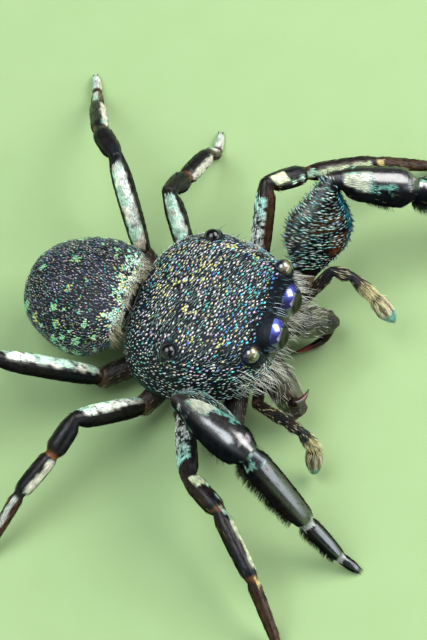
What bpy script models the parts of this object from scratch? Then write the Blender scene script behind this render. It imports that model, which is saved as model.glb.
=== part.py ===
"""A jumping spider of the genus Heratemita, life size, standing still with its front legs raised.

Every size below is in millimetres and is scaled to metres when an object is finished. The spider faces -Y,
its right side is towards -X, and its feet stand on Z = 0. Places on the body are given as forward, right
and up from BODY_REFERENCE, the middle of the body at the height of the leg roots.
"""

import math
import random

import bmesh
import bpy
from mathutils import Matrix, Vector

MM = 0.001
GAP = 0.06                      # between neighbouring pieces
BODY_REFERENCE = Vector((0.0, 0.0, 1.20))
BODY_PITCH = math.radians(5.3)  # the head end is raised
SIDES = {"r": 1.0, "l": -1.0}   # factor on the rightward measure

# Carapace stations: forward, half width, height of the top, height of the rim, squareness
CARAPACE = (
    (-1.70, 0.50, 0.36, -0.02, 2.2),
    (-1.62, 1.02, 0.66, -0.12, 2.5),
    (-1.40, 1.46, 1.02, -0.20, 2.8),
    (-1.05, 1.75, 1.36, -0.24, 3.2),
    (-0.50, 1.92, 1.61, -0.25, 3.6),
    (0.00, 1.95, 1.72, -0.22, 3.8),
    (0.60, 1.85, 1.75, -0.14, 3.7),
    (1.15, 1.66, 1.74, 0.02, 3.4),
    (1.55, 1.44, 1.71, 0.20, 3.1),
    (1.80, 1.16, 1.64, 0.38, 2.8),
    (1.90, 0.74, 1.46, 0.60, 2.5),
)
CARAPACE_RINGS = 17
CARAPACE_SIDES = 30
CARAPACE_WIDEST = 0.10          # share of its height at which a section is widest

# Eyes: forward, right, up of the lens centre, lens radius, segments, rings
EYES = {
    "eye_am": (1.85, 0.46, 1.28, 0.410, 18, 10),
    "eye_al": (1.63, 1.13, 1.45, 0.200, 14, 8),
    "eye_pm": (1.02, 1.27, 1.56, 0.075, 10, 6),
    "eye_pl": (-0.17, 1.51, 1.45, 0.195, 14, 8),
}
EYE_MOUND_SINK = 0.10           # how deep the mound under a rear eye lies below its lens
EYE_MOUND_REST = 0.07           # how far the mound reaches round the lens
SOCKET_GAP = 0.04

# Abdomen, in its own frame: along its axis from the front, half width, top, bottom, squareness
ABDOMEN_CENTRE = Vector((-0.14, 2.98, 1.52))
ABDOMEN_YAW = math.radians(-3.0)
ABDOMEN_PITCH = math.radians(6.0)
ABDOMEN = (
    (-1.26, 0.56, 0.82, 0.26, 2.1),
    (-1.18, 1.00, 1.00, -0.04, 2.3),
    (-0.95, 1.29, 1.12, -0.50, 2.4),
    (-0.50, 1.42, 1.17, -0.92, 2.4),
    (0.00, 1.38, 1.11, -1.06, 2.2),
    (0.48, 1.22, 0.93, -1.00, 2.1),
    (0.88, 0.96, 0.68, -0.84, 2.0),
    (1.14, 0.62, 0.38, -0.60, 2.0),
    (1.26, 0.26, 0.08, -0.32, 2.0),
)
ABDOMEN_RINGS = 15
ABDOMEN_SIDES = 26

# Sternum and mouthparts: forward, half width, top, bottom, squareness
STERNUM = (
    (-1.26, 0.16, -0.38, -0.56, 2.2),
    (-1.00, 0.42, -0.33, -0.66, 2.4),
    (-0.30, 0.56, -0.32, -0.72, 2.4),
    (0.45, 0.54, -0.30, -0.72, 2.4),
    (0.90, 0.38, -0.28, -0.66, 2.4),
)
MOUTH = (
    (0.97, 0.30, -0.28, -0.66, 2.4),
    (1.15, 0.46, -0.26, -0.76, 2.4),
    (1.34, 0.44, -0.38, -0.80, 2.4),
    (1.48, 0.24, -0.52, -0.76, 2.2),
)
UNDERSIDE_SIDES = 14

PEDICEL_RADIUS = 0.15
PEDICEL_HEIGHT = 0.10
PEDICEL_END = -1.12             # of its rear end, along the abdomen's axis
PEDICEL_DROP = -0.38            # of its rear end, from the abdomen's middle
PEDICEL_SIDES = 12

# Legs: forward and outward place of the coxa at the sternum, then the lengths beyond the knee
COXA_ROOT = {"1": (0.92, 0.62), "2": (0.34, 0.70), "3": (-0.30, 0.70), "4": (-0.94, 0.58)}
COXA_HEIGHT = -0.52
COXA_RADIUS = {"1": 0.26, "2": 0.24, "3": 0.24, "4": 0.25}
SEGMENTS = ("femur", "patella", "tibia", "metatarsus", "tarsus")
LENGTHS = {
    "1": (1.93, 2.25, 1.21, 0.52),
    "2": (1.11, 1.70, 1.50, 0.65),
    "3": (0.92, 1.15, 1.33, 0.60),
    "4": (0.95, 1.54, 1.63, 0.67),
}
# Pose: where the femur starts and where the knee is (forward, outward, up), then headings from straight
# ahead, turning outward, and slopes above the level, in degrees. The tarsus slopes to the floor by itself.
POSE = {
    "leg1_r": ((1.20, 2.04, -0.42), (0.63, 2.77, 1.68), (23, 16, 17, 8), (-1, -51, -43)),
    "leg1_l": ((1.56, 1.98, -0.40), (2.08, 3.46, 1.63), (24, 24, 24, 24), (-23, -31, -44)),
    "leg2_r": ((0.04, 2.02, -0.44), (0.91, 3.83, 0.27), (34, 46, 47, 47), (5, -13, -43)),
    "leg2_l": ((0.46, 1.94, -0.44), (0.33, 3.51, 0.72), (50, 34, 33, 33), (-25, -12, -32)),
    "leg3_r": ((-0.92, 2.04, -0.44), (-1.85, 3.36, 0.87), (109, 118, 111, 111), (-21, -24, -33)),
    "leg3_l": ((-1.24, 1.90, -0.42), (-1.59, 2.50, 1.30), (84, 80, 99, 101), (-39, -25, -60)),
    "leg4_r": ((-2.02, 1.62, -0.36), (-3.89, 2.68, 1.58), (149, 149, 149, 149), (-4, -37, -47)),
    "leg4_l": ((-2.20, 1.60, -0.36), (-2.95, 2.85, 1.76), (134, 117, 116, 115), (-17, -36, -50)),
}
# Leg sections: share of the segment's length, depth in the plane in which the leg bends, width across it
FRONT_LEG = {
    "femur": ((0.00, 0.44, 0.40), (0.18, 0.98, 0.50), (0.38, 1.50, 0.68), (0.60, 1.50, 0.76),
              (0.80, 1.14, 0.74), (1.00, 0.42, 0.46)),
    "patella": ((0.00, 0.40, 0.46), (0.12, 0.78, 0.78), (0.45, 0.88, 0.86), (0.84, 0.96, 0.92),
                (1.00, 0.62, 0.62)),
    "tibia": ((0.00, 0.54, 0.52), (0.12, 0.70, 0.66), (0.50, 0.70, 0.66), (0.88, 0.60, 0.56),
              (1.00, 0.44, 0.44)),
    "metatarsus": ((0.00, 0.38, 0.38), (0.14, 0.46, 0.42), (0.60, 0.42, 0.40), (0.90, 0.34, 0.32),
                   (1.00, 0.28, 0.28)),
    "tarsus": ((0.00, 0.28, 0.28), (0.30, 0.30, 0.28), (0.75, 0.26, 0.24), (1.00, 0.16, 0.16)),
}
OTHER_LEG = {
    "femur": ((0.00, 0.38, 0.36), (0.18, 0.54, 0.46), (0.50, 0.58, 0.50), (0.82, 0.52, 0.48),
              (1.00, 0.36, 0.36)),
    "patella": ((0.00, 0.36, 0.36), (0.22, 0.48, 0.46), (0.78, 0.50, 0.48), (1.00, 0.36, 0.36)),
    "tibia": ((0.00, 0.34, 0.34), (0.16, 0.44, 0.42), (0.84, 0.42, 0.40), (1.00, 0.30, 0.30)),
    "metatarsus": ((0.00, 0.28, 0.28), (0.12, 0.33, 0.33), (0.88, 0.28, 0.28), (1.00, 0.24, 0.24)),
    "tarsus": ((0.00, 0.24, 0.24), (0.40, 0.26, 0.25), (0.80, 0.24, 0.22), (1.00, 0.15, 0.15)),
}
LEG_SIDES = {"1": 12, "2": 9, "3": 9, "4": 9}
CLAW_LENGTH = 0.13
CLAW_RADIUS = 0.035
FOOT_FLAT = 0.05                # half the height that the tip of a foot keeps above the floor

# Palps, posed as the legs are, with the lengths of patella, tibia and end segment
PALP_LENGTHS = (0.46, 0.66, 0.84)
PALP_ROOT = (1.38, 0.64, -0.70)
PALP = {
    "palp_r": ((1.56, 1.36, -0.48), (2.50, 1.87, 0.04), (25, 2, 81), (16, -64, -72)),
    "palp_l": ((1.60, 1.20, -0.54), (2.41, 1.85, 0.43), (4, -21, -15), (-12, -22, -51)),
}
PALP_FEMUR = ((0.00, 0.24, 0.24), (0.30, 0.27, 0.27), (0.80, 0.30, 0.29), (1.00, 0.24, 0.24))
PALP_PATELLA = ((0.00, 0.24, 0.24), (0.50, 0.31, 0.31), (1.00, 0.25, 0.25))
PALP_TIBIA = ((0.00, 0.25, 0.25), (0.55, 0.33, 0.33), (1.00, 0.27, 0.27))
PALP_CYMBIUM = ((0.00, 0.27, 0.27), (0.25, 0.42, 0.38), (0.60, 0.44, 0.38), (0.88, 0.28, 0.26),
                (1.00, 0.12, 0.12))
PALP_NECK = 0.14
PALP_SIDES = 10

# Chelicerae: base and end (forward, right, up), then share of length, depth, width
CHELICERA_BASE = (1.56, 0.50, 0.02)
CHELICERA_END = (2.50, 1.25, -0.84)
CHELICERA_SECTIONS = ((0.00, 0.66, 0.68), (0.14, 0.80, 0.80), (0.45, 0.88, 0.82), (0.75, 0.78, 0.74),
                      (0.94, 0.60, 0.58), (1.00, 0.36, 0.36))
CHELICERA_SIDES = 14
FANG_RADIUS = 0.10
FANG_SIDES = 8
FANG_CURVE = 0.06
# Fangs: root measured from the jaw's end and direction, both as forward, inward and up, then the length
FANGS = {
    "r": ((-0.035, -0.02, 0.64), (0.415, 0.91, 0.0), 0.46),
    "l": ((-0.226, 0.33, -0.35), (-0.757, 0.653, 0.0), 0.80),
}

SPINNERET_BASE = (0.935, -0.885)  # on the abdomen's axis from its middle, and up from it
SPINNERET_AIM = (0.64, -0.77)
SPINNERET_LENGTH = 0.28
SPINNERET_RADIUS = 0.11

# Locks of hair: shares of their length, width and thickness from root to tip
LOCK_SHAPE = ((0.0, 1.00, 1.00), (0.40, 0.95, 0.80), (0.75, 0.60, 0.50), (1.0, 0.12, 0.20))
LOCK_THICKNESS = 0.45           # of its width, at the root
# Brush under a front leg: shares of the segment where it starts and ends, locks a row, lengths there
BRUSHES = {
    "patella": (0.42, 0.70, 3, 0.20, 0.28),
    "tibia": (0.08, 0.87, 9, 0.42, 0.28),
    "metatarsus": (0.10, 0.90, 6, 0.26, 0.16),
}
BRUSH_WIDTH = 0.28
BRUSH_ROOT = 0.26               # share of the segment's depth at which a lock is rooted
BRUSH_SPREAD = 0.09             # half the distance between the two rows
BRUSH_LEAN = 0.55               # towards the foot, for each unit outward
# Locks of the face: root (forward, outward, up), aim in the same terms, length
FACE_LOCKS = (
    ((1.80, 0.08, 0.70), (1.00, 0.05, -0.35), 0.52),
    ((1.76, 0.34, 0.58), (1.00, 0.25, -0.30), 0.56),
    ((1.72, 0.62, 0.52), (0.95, 0.40, -0.25), 0.58),
    ((1.62, 0.88, 0.50), (0.85, 0.60, -0.20), 0.54),
    ((1.48, 1.10, 0.46), (0.75, 0.75, -0.15), 0.50),
    ((1.30, 1.30, 0.34), (0.65, 0.85, -0.15), 0.44),
)
FACE_LOCK_WIDTH = 0.24
# Locks of a jaw: share of its length, turn about it from its top towards its outer side, length
JAW_LOCKS = ((0.22, -45, 0.42), (0.24, 10, 0.46), (0.30, 60, 0.46), (0.44, -25, 0.44), (0.48, 35, 0.46),
             (0.60, -55, 0.38), (0.64, 5, 0.40), (0.66, 60, 0.40))
JAW_LOCK_WIDTH = 0.20
# Fringe on the front edge of the abdomen
FRINGE_COUNT = 13
FRINGE_SPAN = math.radians(78.0)
FRINGE_PLACE = -1.02            # along the abdomen's axis
FRINGE_LENGTH = 0.30
FRINGE_WIDTH = 0.24

FINISHES = {
    "carapace": ((0.030, 0.040, 0.045), 0.45, 0.2),
    "abdomen": ((0.030, 0.036, 0.045), 0.50, 0.2),
    "underside": ((0.060, 0.050, 0.040), 0.60, 0.0),
    "leg": ((0.035, 0.033, 0.036), 0.35, 0.1),
    "lens": ((0.030, 0.035, 0.110), 0.06, 0.0),
    "fang": ((0.160, 0.030, 0.020), 0.30, 0.0),
    "palp": ((0.090, 0.085, 0.060), 0.50, 0.0),
}


def body_axes():
    """Forward, right and up of the body as world directions."""
    forward = Vector((0.0, -math.cos(BODY_PITCH), math.sin(BODY_PITCH)))
    right = Vector((-1.0, 0.0, 0.0))
    return forward, right, right.cross(forward)


FORWARD, RIGHT, UP = body_axes()


def on_body(forward, right, up):
    """A place on the body as a world point."""
    return BODY_REFERENCE + forward * FORWARD + right * RIGHT + up * UP


def beside(place, side):
    """A place given as forward, outward and up, on one side of the body."""
    return on_body(place[0], side * place[1], place[2])


def smooth_value(stations, column, x):
    """The column's value at x on a smooth curve through the stations, whose first column is x."""
    xs = [row[0] for row in stations]
    ys = [row[column] for row in stations]
    last = len(xs) - 1
    k = max(0, min(last - 1, sum(1 for edge in xs[1:last] if edge <= x)))

    def slope(j):
        low, high = max(0, j - 1), min(last, j + 1)
        return (ys[high] - ys[low]) / (xs[high] - xs[low])

    span = xs[k + 1] - xs[k]
    t = min(1.0, max(0.0, (x - xs[k]) / span))
    a = (2 * t**3 - 3 * t**2 + 1) * ys[k] + (3 * t**2 - 2 * t**3) * ys[k + 1]
    b = (t**3 - 2 * t**2 + t) * slope(k) + (t**3 - t**2) * slope(k + 1)
    return a + span * b


def signed_power(value, power):
    return math.copysign(abs(value) ** power, value)


def dome_section(centre, across, upward, half, top, bottom, square, sides, widest):
    """A ring of points: as wide as half each way, from bottom to top, widest at that share of its height."""
    middle = bottom + widest * (top - bottom)
    points = []
    for k in range(sides):
        angle = 2 * math.pi * k / sides
        x = half * signed_power(math.cos(angle), 2 / square)
        y = signed_power(math.sin(angle), 2 / square)
        rise = (top - middle) * y if y > 0 else (middle - bottom) * y
        points.append(centre + x * across + (middle + rise) * upward)
    return points


def rounded_places(first, last, count):
    """Places from first to last, closer together at both ends."""
    middle, reach = (first + last) / 2, (last - first) / 2
    return [middle - reach * math.cos(math.pi * k / (count - 1)) for k in range(count)]


def body_rings(stations, count, sides, origin, axis, across, upward, widest):
    """Rings along an axis whose sections follow the stations."""
    rings = []
    for place in rounded_places(stations[0][0], stations[-1][0], count):
        half, top, bottom, square = (smooth_value(stations, c, place) for c in (1, 2, 3, 4))
        rings.append(dome_section(origin + place * axis, across, upward, half, top, bottom, square,
                                  sides, widest))
    return rings


def loft(name, rings):
    """A closed mesh object through rings of points, with a flat face on each end."""
    shape = bmesh.new()
    rows = [[shape.verts.new(point) for point in ring] for ring in rings]
    sides = len(rows[0])
    for near, far in zip(rows, rows[1:]):
        for k in range(sides):
            n = (k + 1) % sides
            shape.faces.new((near[k], near[n], far[n], far[k]))
    shape.faces.new(reversed(rows[0]))
    shape.faces.new(rows[-1])
    bmesh.ops.recalc_face_normals(shape, faces=shape.faces)
    return finished_mesh(name, shape)


def finished_mesh(name, shape):
    mesh = bpy.data.meshes.new(name)
    shape.to_mesh(mesh)
    shape.free()
    made = bpy.data.objects.new(name, mesh)
    bpy.context.scene.collection.objects.link(made)
    return made


def ball(name, centre, radius, segments, rings, pole=Vector((0.0, 0.0, 1.0))):
    """A closed sphere whose pole points along pole."""
    shape = bmesh.new()
    bmesh.ops.create_uvsphere(shape, u_segments=segments, v_segments=rings, radius=radius)
    turn = Vector((0.0, 0.0, 1.0)).rotation_difference(pole).to_matrix().to_4x4()
    bmesh.ops.transform(shape, matrix=Matrix.Translation(centre) @ turn, verts=shape.verts)
    return finished_mesh(name, shape)


def cone(name, base, tip, radius, sides, tip_share=0.2):
    """A tapered spike with a narrow flat tip."""
    axis = (tip - base).normalized()
    across, upward = frame_across(axis, Vector((0.0, 0.0, 1.0)))
    rings = [oval(base, across, upward, radius, radius, sides),
             oval(tip, across, upward, tip_share * radius, tip_share * radius, sides)]
    return loft(name, rings)


def frame_across(axis, hint):
    """Two directions square to the axis: the second one is as near to the hint as it can be."""
    across = axis.cross(hint).normalized()
    return across, across.cross(axis).normalized()


def oval(centre, across, upward, half_across, half_up, sides):
    """An oval ring of points, turned so that a side is flat below."""
    ring = []
    for k in range(sides):
        angle = 2 * math.pi * (k + 0.5) / sides
        ring.append(centre + half_across * math.cos(angle) * across + half_up * math.sin(angle) * upward)
    return ring


def combine(thing, pieces, operation):
    """Joins the pieces to the thing, or cuts them from it, and keeps its largest closed surface."""
    group = bpy.data.collections.new("pieces")
    bpy.context.scene.collection.children.link(group)
    for piece in pieces:
        bpy.context.scene.collection.objects.unlink(piece)
        group.objects.link(piece)
    boolean = thing.modifiers.new("combine", "BOOLEAN")
    boolean.operation = operation
    boolean.operand_type = "COLLECTION"
    boolean.collection = group
    boolean.solver = "EXACT"
    bpy.context.view_layer.objects.active = thing
    bpy.ops.object.modifier_apply(modifier=boolean.name)
    for piece in pieces:
        bpy.data.meshes.remove(piece.data)
    bpy.data.collections.remove(group)
    keep_largest(thing)


def keep_largest(thing):
    shape = bmesh.new()
    shape.from_mesh(thing.data)
    left = set(shape.verts)
    groups = []
    while left:
        todo = [left.pop()]
        group = set(todo)
        while todo:
            for edge in todo.pop().link_edges:
                for vert in edge.verts:
                    if vert not in group:
                        group.add(vert)
                        left.discard(vert)
                        todo.append(vert)
        groups.append(group)
    groups.sort(key=len)
    for group in groups[:-1]:
        bmesh.ops.delete(shape, geom=list(group), context="VERTS")
    shape.to_mesh(thing.data)
    shape.free()


def finish(thing, kind, root):
    """Scales an object to metres, shades it smooth and gives it its own material."""
    colour, roughness, metallic = FINISHES[kind]
    material = bpy.data.materials.new(thing.name + "_finish")
    material.use_nodes = True
    shader = material.node_tree.nodes["Principled BSDF"]
    shader.inputs["Base Color"].default_value = (*colour, 1.0)
    shader.inputs["Roughness"].default_value = roughness
    shader.inputs["Metallic"].default_value = metallic
    thing.data.materials.clear()
    thing.data.materials.append(material)
    thing.data.transform(Matrix.Scale(MM, 4))
    thing.data.shade_smooth()
    thing.data.set_sharp_from_angle(angle=math.radians(40))
    thing.parent = root


def direction(heading, slope, side):
    """A world direction from a heading off straight ahead, turning outward, and a slope above the level."""
    turn, rise = math.radians(heading), math.radians(slope)
    return Vector((-side * math.sin(turn) * math.cos(rise), -math.cos(turn) * math.cos(rise),
                   math.sin(rise)))


def joints_of(start, knee, lengths, headings, slopes, side):
    """The joints of a limb. A last segment with no slope given reaches down to the floor."""
    joints = [start, knee]
    for k, length in enumerate(lengths):
        if k < len(slopes):
            slope = slopes[k]
        else:
            drop = min(0.95, (joints[-1].z - FOOT_FLAT) / length)
            slope = -math.degrees(math.asin(drop))
        joints.append(joints[-1] + length * direction(headings[k], slope, side))
    return joints


def bend_plane(joints, front):
    """A direction across the plane in which a limb bends: its knee's own plane, or an upright one."""
    femur, patella = joints[1] - joints[0], joints[2] - joints[1]
    if front:
        return patella.cross(femur).normalized()
    return Vector((femur.x, femur.y, 0.0)).cross(Vector((0.0, 0.0, 1.0))).normalized()


def mitre(ring, axis, joint, normal, offset):
    """The ring slid along the axis onto the plane that halves a joint, kept off it by the offset."""
    along = axis.dot(normal)
    return [p + axis * ((joint + offset * normal - p).dot(normal) / along) for p in ring]


def limb_rings(start, end, sections, across, sides, before, after):
    """Rings of one segment. Before and after are the neighbours' directions, or None at a free end."""
    axis = (end - start).normalized()
    length = (end - start).length
    upward = across.cross(axis).normalized()
    level = axis.cross(upward).normalized()
    trims = []
    for neighbour, depth in ((before, sections[1][1]), (after, sections[-2][1])):
        turn = 0.0 if neighbour is None else axis.angle(neighbour)
        trims.append(depth / 2 * math.tan(turn / 2) + GAP)
    rings = []
    for k, (share, depth, width) in enumerate(sections):
        place = share * length
        if 0 < k < len(sections) - 1:
            place = min(max(place, trims[0] + 0.03 * k), length - trims[1] - 0.03 * (len(sections) - k))
        rings.append(oval(start + place * axis, level, upward, width / 2, depth / 2, sides))
    if before is not None:
        rings[0] = mitre(rings[0], axis, start, (before + axis).normalized(), GAP / 2)
    if after is not None:
        rings[-1] = mitre(rings[-1], axis, end, (axis + after).normalized(), -GAP / 2)
    return rings


def lock(root, aim, droop, wide, length, width):
    """A flat tapered lock of hair. It leaves its root along the aim, bends to the droop and is broad along wide."""
    centres, directions = [], []
    for share, _, _ in LOCK_SHAPE:
        way = (aim + share * droop).normalized()
        directions.append(way)
        centres.append(root + share * length * (aim + 0.5 * share * droop).normalized())
    rings = []
    for centre, way, (_, broad, thick) in zip(centres, directions, LOCK_SHAPE):
        upward, across = frame_across(way, wide)
        half = width / math.sqrt(2.0)
        rings.append(oval(centre, across, upward, half * broad, LOCK_THICKNESS * half * thick, 4))
    return loft("lock", rings)


def varied(value, share=0.15):
    return value * random.uniform(1.0 - share, 1.0 + share)


def brush(start, end, sections, plan):
    """Two rows of locks along the lower side of a leg segment."""
    first, last, count, length_first, length_last = plan
    axis = (end - start).normalized()
    down = Vector((0.0, 0.0, -1.0))
    below = (down - down.dot(axis) * axis).normalized()
    beyond = below.cross(axis)
    locks = []
    for k in range(count):
        along = k / (count - 1)
        place = first + along * (last - first)
        depth = smooth_value(sections, 1, place)
        for row in (-1.0, 1.0):
            share = min(last, max(first, place + 0.15 * row * (last - first) / count))
            root = start.lerp(end, share) + BRUSH_ROOT * depth * below + row * BRUSH_SPREAD * beyond
            length = varied(length_first + along * (length_last - length_first)) + (0.5 - BRUSH_ROOT) * depth
            aim = below + 0.22 * row * beyond + 0.5 * BRUSH_LEAN * axis
            locks.append(lock(root, aim, BRUSH_LEAN * axis, axis, length, BRUSH_WIDTH))
    return locks


def face_locks():
    """The long pale hairs below the front eyes and on the cheeks."""
    locks = []
    for side in SIDES.values():
        for root, aim, length in FACE_LOCKS:
            ahead, outward, above = aim
            way = ahead * FORWARD + side * outward * RIGHT + above * UP
            locks.append(lock(beside(root, side), way, -0.3 * UP, way.cross(UP), varied(length),
                              FACE_LOCK_WIDTH))
    return locks


def jaw_locks(base, end, side):
    """Hairs down the front and the outer side of a jaw."""
    axis = (end - base).normalized()
    top = (UP - UP.dot(axis) * axis).normalized()
    outer = (side * RIGHT - side * RIGHT.dot(axis) * axis).normalized()
    locks = []
    for share, turn, length in JAW_LOCKS:
        away = math.cos(math.radians(turn)) * top + math.sin(math.radians(turn)) * outer
        root = base.lerp(end, share) + 0.24 * away
        locks.append(lock(root, 0.55 * away + axis, 0.2 * axis, away.cross(axis), varied(length),
                          JAW_LOCK_WIDTH))
    return locks


def carapace():
    rings = body_rings(CARAPACE, CARAPACE_RINGS, CARAPACE_SIDES, BODY_REFERENCE, FORWARD, RIGHT, UP,
                       CARAPACE_WIDEST)
    shell = loft("carapace", rings)
    mounds, sockets = [], []
    for name, (forward, right, up, radius, segments, rings) in EYES.items():
        for side in SIDES.values():
            centre = on_body(forward, side * right, up)
            if name == "eye_pl":
                mounds.append(ball("mound", centre - EYE_MOUND_SINK * UP, radius + EYE_MOUND_REST,
                                   segments, rings))
            sockets.append(ball("socket", centre, radius + SOCKET_GAP, segments, rings, FORWARD))
    combine(shell, mounds + face_locks(), "UNION")
    combine(shell, sockets, "DIFFERENCE")
    return shell


def eyes():
    made = []
    for name, (forward, right, up, radius, segments, rings) in EYES.items():
        for letter, side in SIDES.items():
            centre = on_body(forward, side * right, up)
            made.append(ball(f"{name}_{letter}", centre, radius, segments, rings, FORWARD))
    return made


def abdomen_axes():
    """Rearward, right and up of the abdomen as world directions."""
    turn = Matrix.Rotation(ABDOMEN_YAW, 3, "Z") @ Matrix.Rotation(ABDOMEN_PITCH, 3, "X")
    return turn @ Vector((0.0, 1.0, 0.0)), turn @ Vector((-1.0, 0.0, 0.0)), turn @ Vector((0.0, 0.0, 1.0))


def abdomen():
    rearward, right, up = abdomen_axes()
    rings = body_rings(ABDOMEN, ABDOMEN_RINGS, ABDOMEN_SIDES, ABDOMEN_CENTRE, rearward, right, up, 0.46)
    body = loft("abdomen", rings)
    half, top, bottom = (smooth_value(ABDOMEN, column, FRINGE_PLACE) for column in (1, 2, 3))
    middle = bottom + 0.46 * (top - bottom)
    fringe = []
    for k in range(FRINGE_COUNT):
        turn = FRINGE_SPAN * (2 * k / (FRINGE_COUNT - 1) - 1)
        away = math.sin(turn) * right + math.cos(turn) * up
        root = (ABDOMEN_CENTRE + FRINGE_PLACE * rearward + (middle + 0.86 * (top - middle) * math.cos(turn)) * up
                + 0.90 * half * math.sin(turn) * right)
        fringe.append(lock(root, -rearward - 0.12 * away, -0.5 * away, rearward.cross(away),
                           varied(FRINGE_LENGTH), FRINGE_WIDTH))
    combine(body, fringe, "UNION")
    return body


def pedicel():
    """The short stalk between the carapace and the abdomen."""
    rearward, _, up = abdomen_axes()
    start = on_body(CARAPACE[0][0] - GAP, 0.0, PEDICEL_HEIGHT)
    end = ABDOMEN_CENTRE + PEDICEL_END * rearward + PEDICEL_DROP * up
    axis = (end - start).normalized()
    across, upward = frame_across(axis, UP)
    rings = [oval(point, across, upward, PEDICEL_RADIUS, PEDICEL_RADIUS, PEDICEL_SIDES)
             for point in (start, end)]
    rings[0] = mitre(rings[0], axis, start, FORWARD, 0.0)
    rings[1] = mitre(rings[1], axis, end, rearward, 0.0)
    return loft("pedicel", rings)


def spinnerets():
    """Two pairs of short cones on a common base, behind and below the abdomen."""
    rearward, right, up = abdomen_axes()
    base = ABDOMEN_CENTRE + SPINNERET_BASE[0] * rearward + SPINNERET_BASE[1] * up
    aim = SPINNERET_AIM[0] * rearward + SPINNERET_AIM[1] * up
    upward = right.cross(aim)
    hub = loft("spinnerets", [oval(base, right, upward, 0.20, 0.20, 10),
                              oval(base + 0.12 * aim, right, upward, 0.20, 0.20, 10)])
    cones = []
    for place in ((0.10, 0.07), (-0.10, 0.07), (0.09, -0.09), (-0.09, -0.09)):
        start = base + 0.05 * aim + place[0] * right + place[1] * upward
        tip = start + SPINNERET_LENGTH * aim + 0.6 * (place[0] * right + place[1] * upward)
        cones.append(cone("spinneret", start, tip, SPINNERET_RADIUS, 7, 0.5))
    combine(hub, cones, "UNION")
    return hub


def underside(name, stations):
    rings = body_rings(stations, 8, UNDERSIDE_SIDES, BODY_REFERENCE, FORWARD, RIGHT, UP, 0.5)
    return loft(name, rings)


def stub(name, root, end, radius, sides):
    """The first, short joint of a limb, rounded off where the next one turns away."""
    axis = (end - root).normalized()
    frame = frame_across(axis, UP)
    places = ((root, 0.80), (root + 0.12 * axis, 1.0), (end, 1.0), (end + 0.6 * radius * axis, 0.80),
              (end + 0.9 * radius * axis, 0.40))
    return loft(name, [oval(point, *frame, share * radius, share * radius, sides)
                       for point, share in places])


def chelicera(letter, side):
    """One jaw, leaning forward and outward from under the face, and its fang folded inward."""
    base, end = beside(CHELICERA_BASE, side), beside(CHELICERA_END, side)
    axis = (end - base).normalized()
    across, _ = frame_across(axis, UP)
    jaw = loft("chelicera_" + letter, limb_rings(base, end, CHELICERA_SECTIONS, across,
                                                 CHELICERA_SIDES, None, None))
    combine(jaw, jaw_locks(base, end, side), "UNION")
    place, way, length = FANGS[letter]
    root = end + place[0] * FORWARD - side * place[1] * RIGHT + place[2] * UP
    reach = length * (way[0] * FORWARD - side * way[1] * RIGHT + way[2] * UP).normalized()
    frame = frame_across(reach.normalized(), UP)
    bulge = (axis - axis.project(reach)).normalized()
    rings = []
    for share in (0.0, 0.3, 0.6, 0.85, 1.0):
        centre = root + share * reach + FANG_CURVE * math.sin(math.pi * share) * bulge
        radius = FANG_RADIUS * (1.0 - 0.85 * share)
        rings.append(oval(centre, *frame, radius, radius, FANG_SIDES))
    return jaw, loft("fang_" + letter, rings)


def palp(name, side):
    """Trochanter and femur in one piece, patella and tibia in one, and the swollen end segment."""
    start, knee, headings, slopes = PALP[name]
    bend, root = beside(start, side), beside(PALP_ROOT, side)
    joints = joints_of(bend, beside(knee, side), PALP_LENGTHS, headings, slopes, side)
    steps = [(b - a).normalized() for a, b in zip(joints, joints[1:])]
    across = bend_plane(joints, False)
    neck = stub("neck", root, bend, PALP_NECK, PALP_SIDES)
    femur = limb_rings(joints[0], joints[1], PALP_FEMUR, across, PALP_SIDES, None, steps[1])
    upper = loft(name + "_femur", femur)
    combine(upper, [neck], "UNION")
    patella = limb_rings(joints[1], joints[2], PALP_PATELLA, across, PALP_SIDES, steps[0], None)
    tibia = limb_rings(joints[2], joints[3], PALP_TIBIA, across, PALP_SIDES, None, steps[3])
    middle = loft(name + "_tibia", aligned(patella[:-1] + tibia))
    cymbium = limb_rings(joints[3], joints[4], PALP_CYMBIUM, across, PALP_SIDES, steps[2], None)
    return upper, middle, loft(name + "_cymbium", aligned(cymbium))


def aligned(rings):
    """The rings with their points turned, and reversed if need be, to lie nearest to the ring before."""
    made = [rings[0]]
    for ring in rings[1:]:
        choices = []
        for order in (ring, ring[::-1]):
            choices += [order[k:] + order[:k] for k in range(len(ring))]
        made.append(min(choices, key=lambda points: sum((p - q).length_squared
                                                        for p, q in zip(points, made[-1]))))
    return made


def claws(tip, axis, upward):
    """Two small claws that spread from the tip of a foot."""
    across = axis.cross(upward).normalized()
    pieces = []
    for spread in (-1.0, 1.0):
        start = tip - 0.05 * axis + 0.03 * spread * across + 0.02 * upward
        end = start + CLAW_LENGTH * axis + 0.03 * spread * across + 0.01 * upward
        pieces.append(cone("claw", start, end, CLAW_RADIUS, 5, 0.3))
    return pieces


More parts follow.
